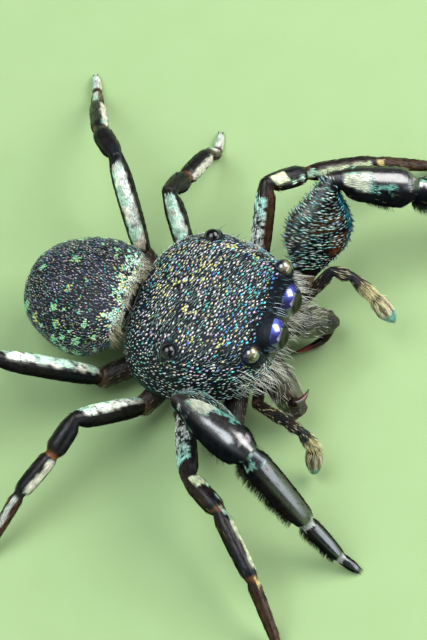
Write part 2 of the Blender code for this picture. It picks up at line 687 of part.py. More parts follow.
def leg(name, side):
    """One leg in four pieces: coxa to femur, patella, tibia, and metatarsus with tarsus."""
    number = name[3]
    sections = FRONT_LEG if number == "1" else OTHER_LEG
    sides = LEG_SIDES[number]
    start, knee, headings, slopes = POSE[name]
    joints = joints_of(beside(start, side), beside(knee, side), LENGTHS[number], headings, slopes, side)
    steps = [(b - a).normalized() for a, b in zip(joints, joints[1:])]
    across = bend_plane(joints, number == "1")

    root = on_body(COXA_ROOT[number][0], side * COXA_ROOT[number][1], COXA_HEIGHT)
    femur = loft(name + "_femur", limb_rings(joints[0], joints[1], sections["femur"], across, sides,
                                             None, steps[1]))
    combine(femur, [stub("coxa", root, joints[0], COXA_RADIUS[number], sides)], "UNION")
    made = [femur]

    for k in (1, 2):
        rings = limb_rings(joints[k], joints[k + 1], sections[SEGMENTS[k]], across, sides,
                           steps[k - 1], steps[k + 1])
        made.append(loft(f"{name}_{SEGMENTS[k]}", rings))
        if number == "1":
            hair = brush(joints[k], joints[k + 1], sections[SEGMENTS[k]], BRUSHES[SEGMENTS[k]])
            combine(made[-1], hair, "UNION")

    upper = limb_rings(joints[3], joints[4], sections["metatarsus"], across, sides, steps[2], None)
    lower = limb_rings(joints[4], joints[5], sections["tarsus"], across, sides, None, None)
    rings = [[Vector((p.x, p.y, max(p.z, 0.0))) for p in ring] for ring in aligned(upper[:-1] + lower)]
    foot = loft(name + "_foot", rings)
    extras = claws(joints[5], steps[4], Vector((0.0, 0.0, 1.0)))
    if number == "1":
        extras += brush(joints[3], joints[4], sections["metatarsus"], BRUSHES["metatarsus"])
    combine(foot, extras, "UNION")
    for vertex in foot.data.vertices:
        vertex.co.z = max(vertex.co.z, 0.0)
    made.append(foot)
    return made


def clear_scene():
    for thing in list(bpy.data.objects):
        bpy.data.objects.remove(thing)


def main():
    clear_scene()
    random.seed(7)
    root = bpy.data.objects.new("spider", None)
    bpy.context.scene.collection.objects.link(root)
    pieces = [(carapace(), "carapace"), (abdomen(), "abdomen"), (pedicel(), "underside"),
              (spinnerets(), "underside"), (underside("sternum", STERNUM), "underside"),
              (underside("mouthparts", MOUTH), "underside")]
    pieces += [(eye, "lens") for eye in eyes()]
    for letter, side in SIDES.items():
        jaw, fang = chelicera(letter, side)
        pieces += [(jaw, "carapace"), (fang, "fang")]
        pieces += [(part, "palp") for part in palp("palp_" + letter, side)]
        for number in LENGTHS:
            pieces += [(part, "leg") for part in leg(f"leg{number}_{letter}", side)]
    for thing, kind in pieces:
        finish(thing, kind, root)
    corners = [vertex.co for thing, _ in pieces for vertex in thing.data.vertices]
    low = [min(corner[axis] for corner in corners) for axis in range(3)]
    high = [max(corner[axis] for corner in corners) for axis in range(3)]
    root.location = (-(low[0] + high[0]) / 2, -(low[1] + high[1]) / 2, -low[2])


main()
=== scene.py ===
"""Looks of a life-size jumping spider: one skin, eyes, fangs, claws and a coat of scales and hairs.

The named sizes repeat those of the solids. Places are in millimetres in the frame in which the solids were
drawn: the spider faces -Y, its right side is towards -X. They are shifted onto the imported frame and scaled
to metres when a mesh is made.
"""

import itertools
import math
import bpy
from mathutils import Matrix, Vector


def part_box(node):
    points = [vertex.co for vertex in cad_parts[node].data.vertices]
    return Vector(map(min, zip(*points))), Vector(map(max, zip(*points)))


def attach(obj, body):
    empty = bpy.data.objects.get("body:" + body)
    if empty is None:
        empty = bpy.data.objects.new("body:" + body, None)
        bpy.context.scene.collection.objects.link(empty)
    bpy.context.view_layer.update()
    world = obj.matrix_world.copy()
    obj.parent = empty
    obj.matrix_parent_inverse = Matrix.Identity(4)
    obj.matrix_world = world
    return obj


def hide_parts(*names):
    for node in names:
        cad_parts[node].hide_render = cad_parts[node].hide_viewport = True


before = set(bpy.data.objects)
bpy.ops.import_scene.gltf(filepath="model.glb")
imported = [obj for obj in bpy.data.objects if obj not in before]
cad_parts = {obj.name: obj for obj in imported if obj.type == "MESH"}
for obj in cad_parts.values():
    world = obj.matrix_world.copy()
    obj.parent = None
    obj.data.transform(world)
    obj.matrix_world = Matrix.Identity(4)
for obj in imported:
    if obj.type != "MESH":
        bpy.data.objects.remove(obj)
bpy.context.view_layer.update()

from types import SimpleNamespace

import bmesh
import bpy
import numpy as np
from mathutils import Matrix, Vector

MM = 0.001
GAP = 0.06
BODY_REFERENCE = np.array((0.0, 0.0, 1.20))
BODY_PITCH = math.radians(5.3)
FORWARD = np.array((0.0, -math.cos(BODY_PITCH), math.sin(BODY_PITCH)))
RIGHT = np.array((-1.0, 0.0, 0.0))
UP = np.cross(RIGHT, FORWARD)
ABOVE = np.array((0.0, 0.0, 1.0))
BODY_AXES = (BODY_REFERENCE, FORWARD, RIGHT, UP)
SIDES = {"r": 1.0, "l": -1.0}
LEGS = {f"leg{number}_{letter}": side for letter, side in SIDES.items() for number in "1234"}

# Carapace: forward, half width, height of the top, height of the rim, squareness
CARAPACE = (
    (-1.70, 0.50, 0.36, -0.02, 2.2),
    (-1.62, 1.02, 0.66, -0.12, 2.5),
    (-1.40, 1.46, 1.02, -0.20, 2.8),
    (-1.05, 1.75, 1.36, -0.24, 3.2),
    (-0.50, 1.92, 1.61, -0.25, 3.6),
    (0.00, 1.95, 1.72, -0.22, 3.8),
    (0.60, 1.85, 1.75, -0.14, 3.7),
    (1.15, 1.66, 1.74, 0.02, 3.4),
    (1.55, 1.44, 1.71, 0.20, 3.1),
    (1.80, 1.16, 1.64, 0.38, 2.8),
    (1.90, 0.74, 1.46, 0.60, 2.5),
)
CARAPACE_WIDEST = 0.10

# Eyes: forward, right, up of the lens centre, lens radius, reach of the mound round it, its sink below
EYES = {
    "am": (1.85, 0.46, 1.28, 0.410, 0.045, 0.02),
    "al": (1.63, 1.13, 1.45, 0.200, 0.040, 0.10),
    "pm": (1.02, 1.27, 1.56, 0.075, 0.030, 0.05),
    "pl": (-0.17, 1.51, 1.45, 0.195, 0.060, 0.13),
}
# How softly a mound meets the carapace, and how far beyond its edge it still pushes
MOUND_SOFT = 0.015
MOUND_BEYOND = 0.25

# Abdomen: stations as for the carapace, along its own axis towards the rear
ABDOMEN_CENTRE = np.array((-0.14, 2.98, 1.52))
ABDOMEN_YAW = math.radians(-3.0)
ABDOMEN_PITCH = math.radians(6.0)
ABDOMEN = (
    (-1.26, 0.56, 0.82, 0.26, 2.1),
    (-1.18, 1.00, 1.00, -0.04, 2.3),
    (-0.95, 1.29, 1.12, -0.50, 2.4),
    (-0.50, 1.42, 1.17, -0.92, 2.4),
    (0.00, 1.38, 1.11, -1.06, 2.2),
    (0.48, 1.22, 0.93, -1.00, 2.1),
    (0.88, 0.96, 0.68, -0.84, 2.0),
    (1.14, 0.62, 0.38, -0.60, 2.0),
    (1.26, 0.26, 0.08, -0.32, 2.0),
)
ABDOMEN_WIDEST = 0.46

# Underside: stations as for the carapace
STERNUM = (
    (-1.26, 0.16, -0.38, -0.56, 2.2),
    (-1.00, 0.42, -0.33, -0.66, 2.4),
    (-0.30, 0.56, -0.32, -0.72, 2.4),
    (0.45, 0.54, -0.30, -0.72, 2.4),
    (0.90, 0.38, -0.28, -0.66, 2.4),
)
MOUTH = (
    (0.97, 0.30, -0.28, -0.66, 2.4),
    (1.15, 0.46, -0.26, -0.76, 2.4),
    (1.34, 0.44, -0.38, -0.80, 2.4),
    (1.48, 0.24, -0.52, -0.76, 2.2),
)
PEDICEL_RADIUS = 0.15
PEDICEL_HEIGHT = 0.10
PEDICEL_END = -1.12
PEDICEL_DROP = -0.38
SPINNERET_BASE = (0.935, -0.885)
SPINNERET_AIM = (0.64, -0.77)
SPINNERET_LENGTH = 0.28
SPINNERET_RADIUS = 0.11

# First joints of the legs: forward and outward of their roots, their height and radius
COXA_ROOT = {"1": (0.92, 0.62), "2": (0.34, 0.70), "3": (-0.30, 0.70), "4": (-0.94, 0.58)}
COXA_HEIGHT = -0.52
COXA_RADIUS = {"1": 0.26, "2": 0.24, "3": 0.24, "4": 0.25}
# Segments of a leg, and the lengths of those beyond the femur in each pair of legs
SEGMENTS = ("femur", "patella", "tibia", "metatarsus", "tarsus")
LENGTHS = {
    "1": (1.93, 2.25, 1.21, 0.52),
    "2": (1.11, 1.70, 1.50, 0.65),
    "3": (0.92, 1.15, 1.33, 0.60),
    "4": (0.95, 1.54, 1.63, 0.67),
}
# Root and knee of each leg as forward, outward and up, then headings and slopes of the segments beyond
POSE = {
    "leg1_r": ((1.20, 2.04, -0.42), (0.63, 2.77, 1.68), (23, 16, 17, 8), (-1, -51, -43)),
    "leg1_l": ((1.56, 1.98, -0.40), (2.08, 3.46, 1.63), (24, 24, 24, 24), (-23, -31, -44)),
    "leg2_r": ((0.04, 2.02, -0.44), (0.91, 3.83, 0.27), (34, 46, 47, 47), (5, -13, -43)),
    "leg2_l": ((0.46, 1.94, -0.44), (0.33, 3.51, 0.72), (50, 34, 33, 33), (-25, -12, -32)),
    "leg3_r": ((-0.92, 2.04, -0.44), (-1.85, 3.36, 0.87), (109, 118, 111, 111), (-21, -24, -33)),
    "leg3_l": ((-1.24, 1.90, -0.42), (-1.59, 2.50, 1.30), (84, 80, 99, 101), (-39, -25, -60)),
    "leg4_r": ((-2.02, 1.62, -0.36), (-3.89, 2.68, 1.58), (149, 149, 149, 149), (-4, -37, -47)),
    "leg4_l": ((-2.20, 1.60, -0.36), (-2.95, 2.85, 1.76), (134, 117, 116, 115), (-17, -36, -50)),
}
FOOT_FLAT = 0.05
# Sections of each segment: share of its length, depth and width
FRONT_LEG = {
    "femur": ((0.00, 0.44, 0.40), (0.18, 0.98, 0.50), (0.38, 1.50, 0.68), (0.60, 1.50, 0.76),
              (0.80, 1.14, 0.74), (1.00, 0.42, 0.46)),
    "patella": ((0.00, 0.40, 0.46), (0.12, 0.78, 0.78), (0.45, 0.88, 0.86), (0.84, 0.96, 0.92),
                (1.00, 0.62, 0.62)),
    "tibia": ((0.00, 0.54, 0.52), (0.12, 0.70, 0.66), (0.50, 0.70, 0.66), (0.88, 0.60, 0.56),
              (1.00, 0.44, 0.44)),
    "metatarsus": ((0.00, 0.38, 0.38), (0.14, 0.46, 0.42), (0.60, 0.42, 0.40), (0.90, 0.34, 0.32),
                   (1.00, 0.28, 0.28)),
    "tarsus": ((0.00, 0.28, 0.28), (0.30, 0.30, 0.28), (0.75, 0.26, 0.24), (1.00, 0.16, 0.16)),
}
OTHER_LEG = {
    "femur": ((0.00, 0.38, 0.36), (0.18, 0.54, 0.46), (0.50, 0.58, 0.50), (0.82, 0.52, 0.48),
              (1.00, 0.36, 0.36)),
    "patella": ((0.00, 0.36, 0.36), (0.22, 0.48, 0.46), (0.78, 0.50, 0.48), (1.00, 0.36, 0.36)),
    "tibia": ((0.00, 0.34, 0.34), (0.16, 0.44, 0.42), (0.84, 0.42, 0.40), (1.00, 0.30, 0.30)),
    "metatarsus": ((0.00, 0.28, 0.28), (0.12, 0.33, 0.33), (0.88, 0.28, 0.28), (1.00, 0.24, 0.24)),
    "tarsus": ((0.00, 0.24, 0.24), (0.40, 0.26, 0.25), (0.80, 0.24, 0.22), (1.00, 0.15, 0.15)),
}
CLAW_LENGTH = 0.13
CLAW_RADIUS = 0.030

# Palps, in the same terms as the legs
PALP_LENGTHS = (0.46, 0.66, 0.84)
PALP_ROOT = (1.38, 0.64, -0.70)
PALP_NECK = 0.14
PALP = {
    "palp_r": ((1.56, 1.36, -0.48), (2.50, 1.87, 0.04), (25, 2, 81), (16, -64, -72)),
    "palp_l": ((1.60, 1.20, -0.54), (2.41, 1.85, 0.43), (4, -21, -15), (-12, -22, -51)),
}
PALP_SECTIONS = (
    ((0.00, 0.24, 0.24), (0.30, 0.27, 0.27), (0.80, 0.30, 0.29), (1.00, 0.24, 0.24)),
    ((0.00, 0.24, 0.24), (0.50, 0.31, 0.31), (1.00, 0.25, 0.25)),
    ((0.00, 0.25, 0.25), (0.55, 0.33, 0.33), (1.00, 0.27, 0.27)),
    ((0.00, 0.27, 0.27), (0.25, 0.42, 0.38), (0.60, 0.44, 0.38), (0.88, 0.28, 0.26), (1.00, 0.12, 0.12)),
)
# Jaws: base and end as forward, outward and up
CHELICERA_BASE = (1.56, 0.50, 0.02)
CHELICERA_END = (2.50, 1.25, -0.84)
CHELICERA_SECTIONS = ((0.00, 0.66, 0.68), (0.14, 0.80, 0.80), (0.45, 0.88, 0.82), (0.75, 0.78, 0.74),
                      (0.94, 0.60, 0.58), (1.00, 0.36, 0.36))
FANG_RADIUS = 0.10
FANG_CURVE = 0.06
# Fangs: root measured from the jaw's end and direction, both as forward, inward and up, then the length
FANGS = {
    "r": ((-0.035, -0.02, 0.64), (0.415, 0.91, 0.0), 0.46),
    "l": ((-0.226, 0.33, -0.35), (-0.757, 0.653, 0.0), 0.80),
}

# Rows and columns of the meshes, columns of limbs, and steps between the rows of limbs and jaws
DOME_MESH = {"carapace": (190, 240), "abdomen": (130, 150), "underside": (40, 48)}
LEG_COLUMNS = {"1": 40, "2": 26, "3": 26, "4": 26}
PALP_COLUMNS = 24
JAW_COLUMNS = 40
LIMB_STEP = 0.035
JAW_STEP = 0.020

# How deep the skin lies inside the solids, which is the depth of the flat coat
COAT = {"carapace": 0.020, "abdomen": 0.020, "limb": 0.018, "jaw": 0.030, "underside": 0.010}

# Camera, fitted to the photograph: it looks at AIM from DISTANCE away
CAMERA_AIM = np.array((-0.195, -0.260, 2.044))
CAMERA_BACK = np.array((-0.4239, -0.2122, 0.8805))
CAMERA_RIGHT = np.array((0.3236, -0.9436, -0.0717))
CAMERA_UP = np.array((0.8458, 0.2544, 0.4687))
CAMERA_DISTANCE = 90.0
CAMERA_LENS = 227.0


# Small tools


def unit(v):
    v = np.asarray(v, float)
    return v / np.maximum(np.linalg.norm(v, axis=-1, keepdims=True), 1e-12)


def dot(a, b):
    return np.sum(np.asarray(a) * np.asarray(b), axis=-1)


def on_body(forward, right, up):
    """A place on the body as a world point."""
    return BODY_REFERENCE + forward * FORWARD + right * RIGHT + up * UP


def beside(place, side):
    return on_body(place[0], side * place[1], place[2])


def body_places(points):
    """Forward, right and up of world points."""
    q = points - BODY_REFERENCE
    return dot(q, FORWARD), dot(q, RIGHT), dot(q, UP)


def ramp(x, low, high):
    """Rises smoothly from 0 at low to 1 at high."""
    t = np.clip((np.asarray(x, float) - low) / (high - low), 0.0, 1.0)
    return t * t * (3 - 2 * t)


def pulse(x, low, high, soft):
    """1 between low and high, falling to 0 within soft outside them."""
    return ramp(x, low - soft, low) * (1 - ramp(x, high, high + soft))


def blend(base, other, share):
    """The base where the share is 0, the other where it is 1. Either may be a single colour."""
    share = np.asarray(share)[..., None]
    return np.asarray(base) * (1 - share) + np.asarray(other) * share


def layered(base, *layers):
    """The base painted over with layers of a colour and a share."""
    for colour, share in layers:
        base = blend(base, colour, share)
    return base


def lattice(ix, iy, iz, seed):
    """A repeatable value from 0 to 1 for each whole-numbered place."""
    h = (ix * 73856093 ^ iy * 19349663 ^ iz * 83492791 ^ seed * 2654435) & 0x7FFFFFFF
    h = (h ^ (h >> 13)) * 1274126177 & 0x7FFFFFFF
    return ((h ^ (h >> 16)) & 0xFFFF) / 65535.0


def noise(points, size, seed=0):
    """Smooth noise from 0 to 1 whose lumps are about the size given, in mm."""
    q = np.asarray(points) / size
    cell = np.floor(q).astype(np.int64)
    t = q - cell
    t = t * t * (3 - 2 * t)
    total = 0.0
    for dx, dy, dz in itertools.product((0, 1), repeat=3):
        weight = np.abs(1 - dx - t[..., 0]) * np.abs(1 - dy - t[..., 1]) * np.abs(1 - dz - t[..., 2])
        total = total + weight * lattice(cell[..., 0] + dx, cell[..., 1] + dy, cell[..., 2] + dz, seed)
    return total


def specks(points, size, seed, low, high):
    """Noise made into soft-edged specks: 0 below low, 1 above high."""
    return ramp(noise(points, size, seed), low, high)


def smooth_value(stations, column, x):
    """The column's value at each x on a smooth curve through the stations, whose first column is x."""
    table = np.array(stations, float)
    return hermite(table[:, 0], table[:, column], np.asarray(x, float))


def hermite(xs, ys, x):
    """Values at x on the smooth curve through ys at xs. ys may hold whole rings of points."""
    slopes = np.empty_like(ys)
    gaps = (xs[2:] - xs[:-2]).reshape((-1,) + (1,) * (ys.ndim - 1))
    slopes[1:-1] = (ys[2:] - ys[:-2]) / gaps
    slopes[0] = (ys[1] - ys[0]) / (xs[1] - xs[0])
    slopes[-1] = (ys[-1] - ys[-2]) / (xs[-1] - xs[-2])
    k = np.clip(np.searchsorted(xs, x, side="right") - 1, 0, len(xs) - 2)
    span = (xs[k + 1] - xs[k]).reshape(x.shape + (1,) * (ys.ndim - 1))
    t = np.clip((x - xs[k]).reshape(span.shape) / span, 0.0, 1.0)
    return ((2 * t**3 - 3 * t**2 + 1) * ys[k] + (3 * t**2 - 2 * t**3) * ys[k + 1]
            + span * ((t**3 - 2 * t**2 + t) * slopes[k] + (t**3 - t**2) * slopes[k + 1]))


# Forms


class Sheet:
    """A closed tube of flesh: rows of points along it, columns round it, and a rectangle of the unwrap."""

    def __init__(self, name, grid, place, patch=None, side=1.0):
        self.name, self.grid, self.place, self.patch, self.side = name, grid, place, patch, side
        along = np.gradient(grid, axis=0)
        around = np.roll(grid, -1, axis=1) - np.roll(grid, 1, axis=1)
        normal = unit(np.cross(along, around))
        outward = grid - grid.mean(axis=1, keepdims=True)
        self.normal = normal * np.sign(dot(normal, outward).sum())
        self.along = unit(along)

    def raised(self, height):
        """The sheet with its points moved outward by the height."""
        grid = self.grid + self.normal * height[..., None]
        return Sheet(self.name, grid, self.place, self.patch, self.side)

    @property
    def places(self):
        """The place along the sheet at every point."""
        return np.broadcast_to(self.place[:, None], self.grid.shape[:2])

    @property
    def angles(self):
        """How far each point is dorsal and how far it is on the front side of its limb, from -1 to 1."""
        rows, sides, _ = self.grid.shape
        angle = np.broadcast_to(2 * math.pi * (np.arange(sides) + 0.5) / sides, (rows, sides))
        return np.sin(angle), -self.side * np.cos(angle)


def rounded_places(first, last, count):
    """Places from first to last that lie closer together towards both ends."""
    middle, reach = (first + last) / 2, (last - first) / 2
    return middle - reach * np.cos(np.pi * np.arange(count) / (count - 1))


def dome_grid(stations, kind, axes, widest):
    """Sections along an axis that follow the stations, each moved inward by the coat."""
    origin, axis, across, upward = axes
    (rows, sides), coat = DOME_MESH[kind], COAT[kind]
    places = rounded_places(stations[0][0] + coat, stations[-1][0] - coat, rows)
    half, top, bottom, square = (smooth_value(stations, c, places)[:, None] for c in (1, 2, 3, 4))
    half, top, bottom = half - coat, top - coat, bottom + coat
    middle = bottom + widest * (top - bottom)
    angle = 2 * np.pi * (np.arange(sides) + 0.5)[None, :] / sides
    c, s = np.cos(angle), np.sin(angle)
    x = half * np.sign(c) * np.abs(c) ** (2 / square)
    y = np.sign(s) * np.abs(s) ** (2 / square)
    rise = np.where(y > 0, (top - middle) * y, (middle - bottom) * y)
    grid = (origin + places[:, None, None] * axis + x[..., None] * across
            + (middle + rise)[..., None] * upward)
    return even_round(grid), places


def even_round(grid):
    """The grid with its columns spread evenly round each ring."""
    made = np.empty_like(grid)
    sides = grid.shape[1]
    for k, ring in enumerate(grid):
        closed = np.vstack((ring, ring[:1]))
        steps = np.concatenate(((0.0,), np.cumsum(np.linalg.norm(np.diff(closed, axis=0), axis=1))))
        wanted = np.arange(sides) * steps[-1] / sides
        for axis in range(3):
            made[k, :, axis] = np.interp(wanted, steps, closed[:, axis])
    return made


def raise_mounds(grid):
    """Pushes the carapace out round each eye."""
    for (forward, right, up, radius, reach, sink), side in itertools.product(EYES.values(), SIDES.values()):
        offset = grid - (on_body(forward, side * right, up) - sink * UP)
        far = np.linalg.norm(offset, axis=-1, keepdims=True)
        size = radius + reach
        gain = np.log1p(np.exp(np.clip((size - far) / MOUND_SOFT, -40, 40))) * MOUND_SOFT
        grid = grid + offset / np.maximum(far, 1e-6) * gain * (far < size + MOUND_BEYOND)
    return grid


def carapace_sheet():
    """The carapace with its mounds, slight lumps and a shallow groove behind the rear eyes."""
    grid, places = dome_grid(CARAPACE, "carapace", BODY_AXES, CARAPACE_WIDEST)
    sheet = Sheet("carapace", raise_mounds(grid), places, (0.02, 0.52, 0.46, 0.46))
    lumps = 0.035 * (noise(sheet.grid, 0.55, 3) - 0.5)
    forward, right, up = body_places(sheet.grid)
    groove = 0.05 * np.exp(-((forward + 0.55) / 0.10) ** 2 - (right / 0.10) ** 2)
    return sheet.raised(lumps * (up > 0.2) - groove)


def abdomen_axes():
    """Rearward, right and up of the abdomen as world directions."""
    turn = np.array(Matrix.Rotation(ABDOMEN_YAW, 3, "Z") @ Matrix.Rotation(ABDOMEN_PITCH, 3, "X"))
    return turn @ (0.0, 1.0, 0.0), turn @ (-1.0, 0.0, 0.0), turn @ (0.0, 0.0, 1.0)


def abdomen_places(points):
    """Rearward, right and up of world points from the middle of the abdomen."""
    return tuple(dot(points - ABDOMEN_CENTRE, axis) for axis in abdomen_axes())


def abdomen_sheet():
    grid, places = dome_grid(ABDOMEN, "abdomen", (ABDOMEN_CENTRE, *abdomen_axes()), ABDOMEN_WIDEST)
    sheet = Sheet("abdomen", grid, places, (0.52, 0.52, 0.46, 0.46))
    return sheet.raised(0.030 * (noise(grid, 0.42, 5) - 0.5))


def underside_sheet(name, stations, patch):
    grid, places = dome_grid(stations, "underside", BODY_AXES, 0.5)
    return Sheet(name, grid, places, patch)


def frame_across(axis, hint):
    """Two directions across the axis, the second near the hint."""
    across = unit(np.cross(axis, hint))
    return across, unit(np.cross(across, axis))


def oval(centre, across, upward, half_across, half_up, sides):
    """A ring of points."""
    angle = 2 * np.pi * (np.arange(sides) + 0.5) / sides
    return (centre + half_across * np.cos(angle)[:, None] * across
            + half_up * np.sin(angle)[:, None] * upward)


def direction(heading, slope, side):
    """A world direction from a heading, outward from straight ahead, and a slope, both in degrees."""
    turn, rise = math.radians(heading), math.radians(slope)
    return np.array((-side * math.sin(turn) * math.cos(rise), -math.cos(turn) * math.cos(rise),
                     math.sin(rise)))


def joints_of(pose, lengths, side):
    """The joints of a limb. A last segment with no slope given reaches down to the floor."""
    start, knee, headings, slopes = pose
    joints = [beside(start, side), beside(knee, side)]
    for k, length in enumerate(lengths):
        if k < len(slopes):
            slope = slopes[k]
        else:
            slope = -math.degrees(math.asin(min(0.95, (joints[-1][2] - FOOT_FLAT) / length)))
        joints.append(joints[-1] + length * direction(headings[k], slope, side))
    return joints


def bend_plane(joints, front):
    """A direction across the plane in which a limb bends."""
    femur, patella = joints[1] - joints[0], joints[2] - joints[1]
    if front:
        return unit(np.cross(patella, femur))
    return unit(np.cross((femur[0], femur[1], 0.0), ABOVE))


def mitre(ring, axis, joint, normal, offset):
    """The ring slid along the axis onto a plane at the joint."""
    shift = dot(joint + offset * normal - ring, normal) / dot(axis, normal)
    return ring + shift[:, None] * axis


def limb_rings(start, end, sections, across, sides, before, after, coat):
    """Rings of one segment and the share of its length at each."""
    length = np.linalg.norm(end - start)
    axis = (end - start) / length
    upward = unit(np.cross(across, axis))
    level = unit(np.cross(axis, upward))
    trims = []
    for neighbour, depth in ((before, sections[1][1]), (after, sections[-2][1])):
        turn = 0.0 if neighbour is None else math.acos(min(1.0, max(-1.0, dot(axis, neighbour))))
        trims.append(depth / 2 * math.tan(turn / 2) + GAP)
    rings, shares = [], []
    last = len(sections) - 1
    for k, (share, depth, width) in enumerate(sections):
        place = share * length
        if 0 < k < last:
            place = min(max(place, trims[0] + 0.03 * k), length - trims[1] - 0.03 * (last + 1 - k))
        rings.append(oval(start + place * axis, level, upward, width / 2 - coat, depth / 2 - coat, sides))
        shares.append(place / length)
    if before is not None:
        rings[0] = mitre(rings[0], axis, start, unit(before + axis), GAP / 2)
    if after is not None:
        rings[-1] = mitre(rings[-1], axis, end, unit(axis + after), -GAP / 2)
    return rings, shares


def aligned(rings):
    """The rings with their points turned, and reversed if need be, to lie nearest to the ring before."""
    made = [rings[0]]
    for ring in rings[1:]:
        choices = [np.roll(order, k, axis=0) for order in (ring, ring[::-1]) for k in range(len(ring))]
        made.append(min(choices, key=lambda points: np.sum((points - made[-1]) ** 2)))
    return made


def tube_grid(rings, places, step):
    """A smooth tube through the rings, with rows about a step apart."""
    rings, places = np.array(rings), np.array(places)
    centres = rings.mean(axis=1)
    gaps = np.maximum(np.linalg.norm(np.diff(centres, axis=0), axis=1), 0.02)
    xs = np.concatenate(((0.0,), np.cumsum(gaps)))
    wanted = np.union1d(np.linspace(0.0, xs[-1], max(4, int(xs[-1] / step))), xs)
    return hermite(xs, rings, wanted), np.interp(wanted, xs, places)


def limb_sheet(name, joints, tables, across, sides, patch, side):
    """A whole limb as one tube that narrows at its joints and stays above the floor."""
    coat = COAT["limb"]
    steps = [unit(b - a) for a, b in zip(joints, joints[1:])]
    rings, places = [], []
    for k, table in enumerate(tables):
        before = steps[k - 1] if k else None
        after = steps[k + 1] if k + 1 < len(tables) else None
        part, shares = limb_rings(joints[k], joints[k + 1], table, across, sides, before, after, coat)
        rings += part
        places += [k + 0.002 + 0.996 * share for share in shares]
    rings = [above_floor(ring, coat) for ring in aligned(rings)]
    return Sheet(name, *tube_grid(rings, places, LIMB_STEP), patch, side)


def above_floor(points, lowest):
    return np.stack((points[:, 0], points[:, 1], np.maximum(points[:, 2], lowest)), axis=1)


def leg_joints(name, side):
    return joints_of(POSE[name], LENGTHS[name[3]], side)


def leg_sheet(name, side, row):
    front = name[3] == "1"
    tables = FRONT_LEG if front else OTHER_LEG
    joints = leg_joints(name, side)
    return limb_sheet(name, joints, [tables[segment] for segment in SEGMENTS], bend_plane(joints, front),
                      LEG_COLUMNS[name[3]], (0.02, 0.02 + 0.06 * row, 0.48, 0.052), side)


def palp_sheet(name, side, row):
    joints = joints_of(PALP[name], PALP_LENGTHS, side)
    return limb_sheet(name, joints, PALP_SECTIONS, bend_plane(joints, False), PALP_COLUMNS,
                      (0.66, 0.02 + 0.10 * row, 0.32, 0.08), side)


def jaw_sheet(letter, side, row):
    """A jaw with folds, and knobs towards its end."""
    base, end = beside(CHELICERA_BASE, side), beside(CHELICERA_END, side)
    across, _ = frame_across(unit(end - base), UP)
    rings, places = limb_rings(base, end, CHELICERA_SECTIONS, across, JAW_COLUMNS, None, None,
                               COAT["jaw"])
    sheet = Sheet("jaw_" + letter, *tube_grid(rings, places, JAW_STEP),
                  (0.66, 0.24 + 0.12 * row, 0.32, 0.10), side)
    knobs = 0.11 * (noise(sheet.grid, 0.13, 64) - 0.6) * ramp(sheet.place, 0.72, 0.88)[:, None]
    folds = 0.05 * (noise(sheet.grid, 0.24, 65) - 0.8)
    return sheet.raised(knobs + folds)


def stub_sheet(root, end, radius, sides, patch=None):
    """The first, short joint of a limb, rounded off where the next one turns away."""
    axis = unit(end - root)
    frame_of = frame_across(axis, UP)
    radius = radius - COAT["underside"]
    places = ((root, 0.80), (root + 0.12 * axis, 1.0), (end, 1.0), (end + 0.6 * radius * axis, 0.80),
              (end + 0.9 * radius * axis, 0.40))
    rings = [oval(point, *frame_of, share * radius, share * radius, sides) for point, share in places]
    return Sheet("coxa", *tube_grid(rings, (0.0, 0.1, 0.8, 0.95, 1.0), 0.03), patch)


def rod_sheet(name, start, end, frame_of, radius, sections, sides, step):
    """A straight round tube. Each section is a share of its length and a share of its radius."""
    rings = [oval(start + share * (end - start), *frame_of, size * radius, size * radius, sides)
             for share, size in sections]
    return Sheet(name, *tube_grid(rings, [share for share, _ in sections], step))


def pedicel_sheet():
    rearward, _, up = abdomen_axes()
    start = on_body(CARAPACE[0][0] + 0.10, 0.0, PEDICEL_HEIGHT)
    end = ABDOMEN_CENTRE + (PEDICEL_END + 0.10) * rearward + PEDICEL_DROP * up
    return rod_sheet("pedicel", start, end, frame_across(unit(end - start), UP), PEDICEL_RADIUS,
                     ((0.0, 0.92), (0.5, 0.80), (1.0, 0.92)), 24, 0.05)


def spinneret_sheets():
    rearward, right, up = abdomen_axes()
    base = ABDOMEN_CENTRE + SPINNERET_BASE[0] * rearward + SPINNERET_BASE[1] * up
    aim = SPINNERET_AIM[0] * rearward + SPINNERET_AIM[1] * up
    upward = np.cross(right, aim)
    made = []
    for across, above in ((0.10, 0.07), (-0.10, 0.07), (0.09, -0.09), (-0.09, -0.09)):
        start = base - 0.12 * aim + across * right + above * upward
        tip = base + (0.04 + SPINNERET_LENGTH) * aim + 1.6 * (across * right + above * upward)
        made.append(rod_sheet("spinnerets", start, tip, (right, upward), SPINNERET_RADIUS,
                              ((0.0, 1.0), (0.5, 0.95), (0.62, 0.84), (0.94, 0.60), (1.0, 0.36)), 16, 0.03))
    return made


def curved_sheet(name, root, reach, bulge, frame_of, radii, sides, step):
    """A bent spike: its middle line runs along the reach and arches out by the bulge."""
    shares = np.linspace(0.0, 1.0, len(radii))
    rings = [oval(root + share * reach + math.sin(math.pi * share) * bulge, *frame_of, radius, radius, sides)
             for share, radius in zip(shares, radii)]
    return Sheet(name, *tube_grid(rings, shares, step))


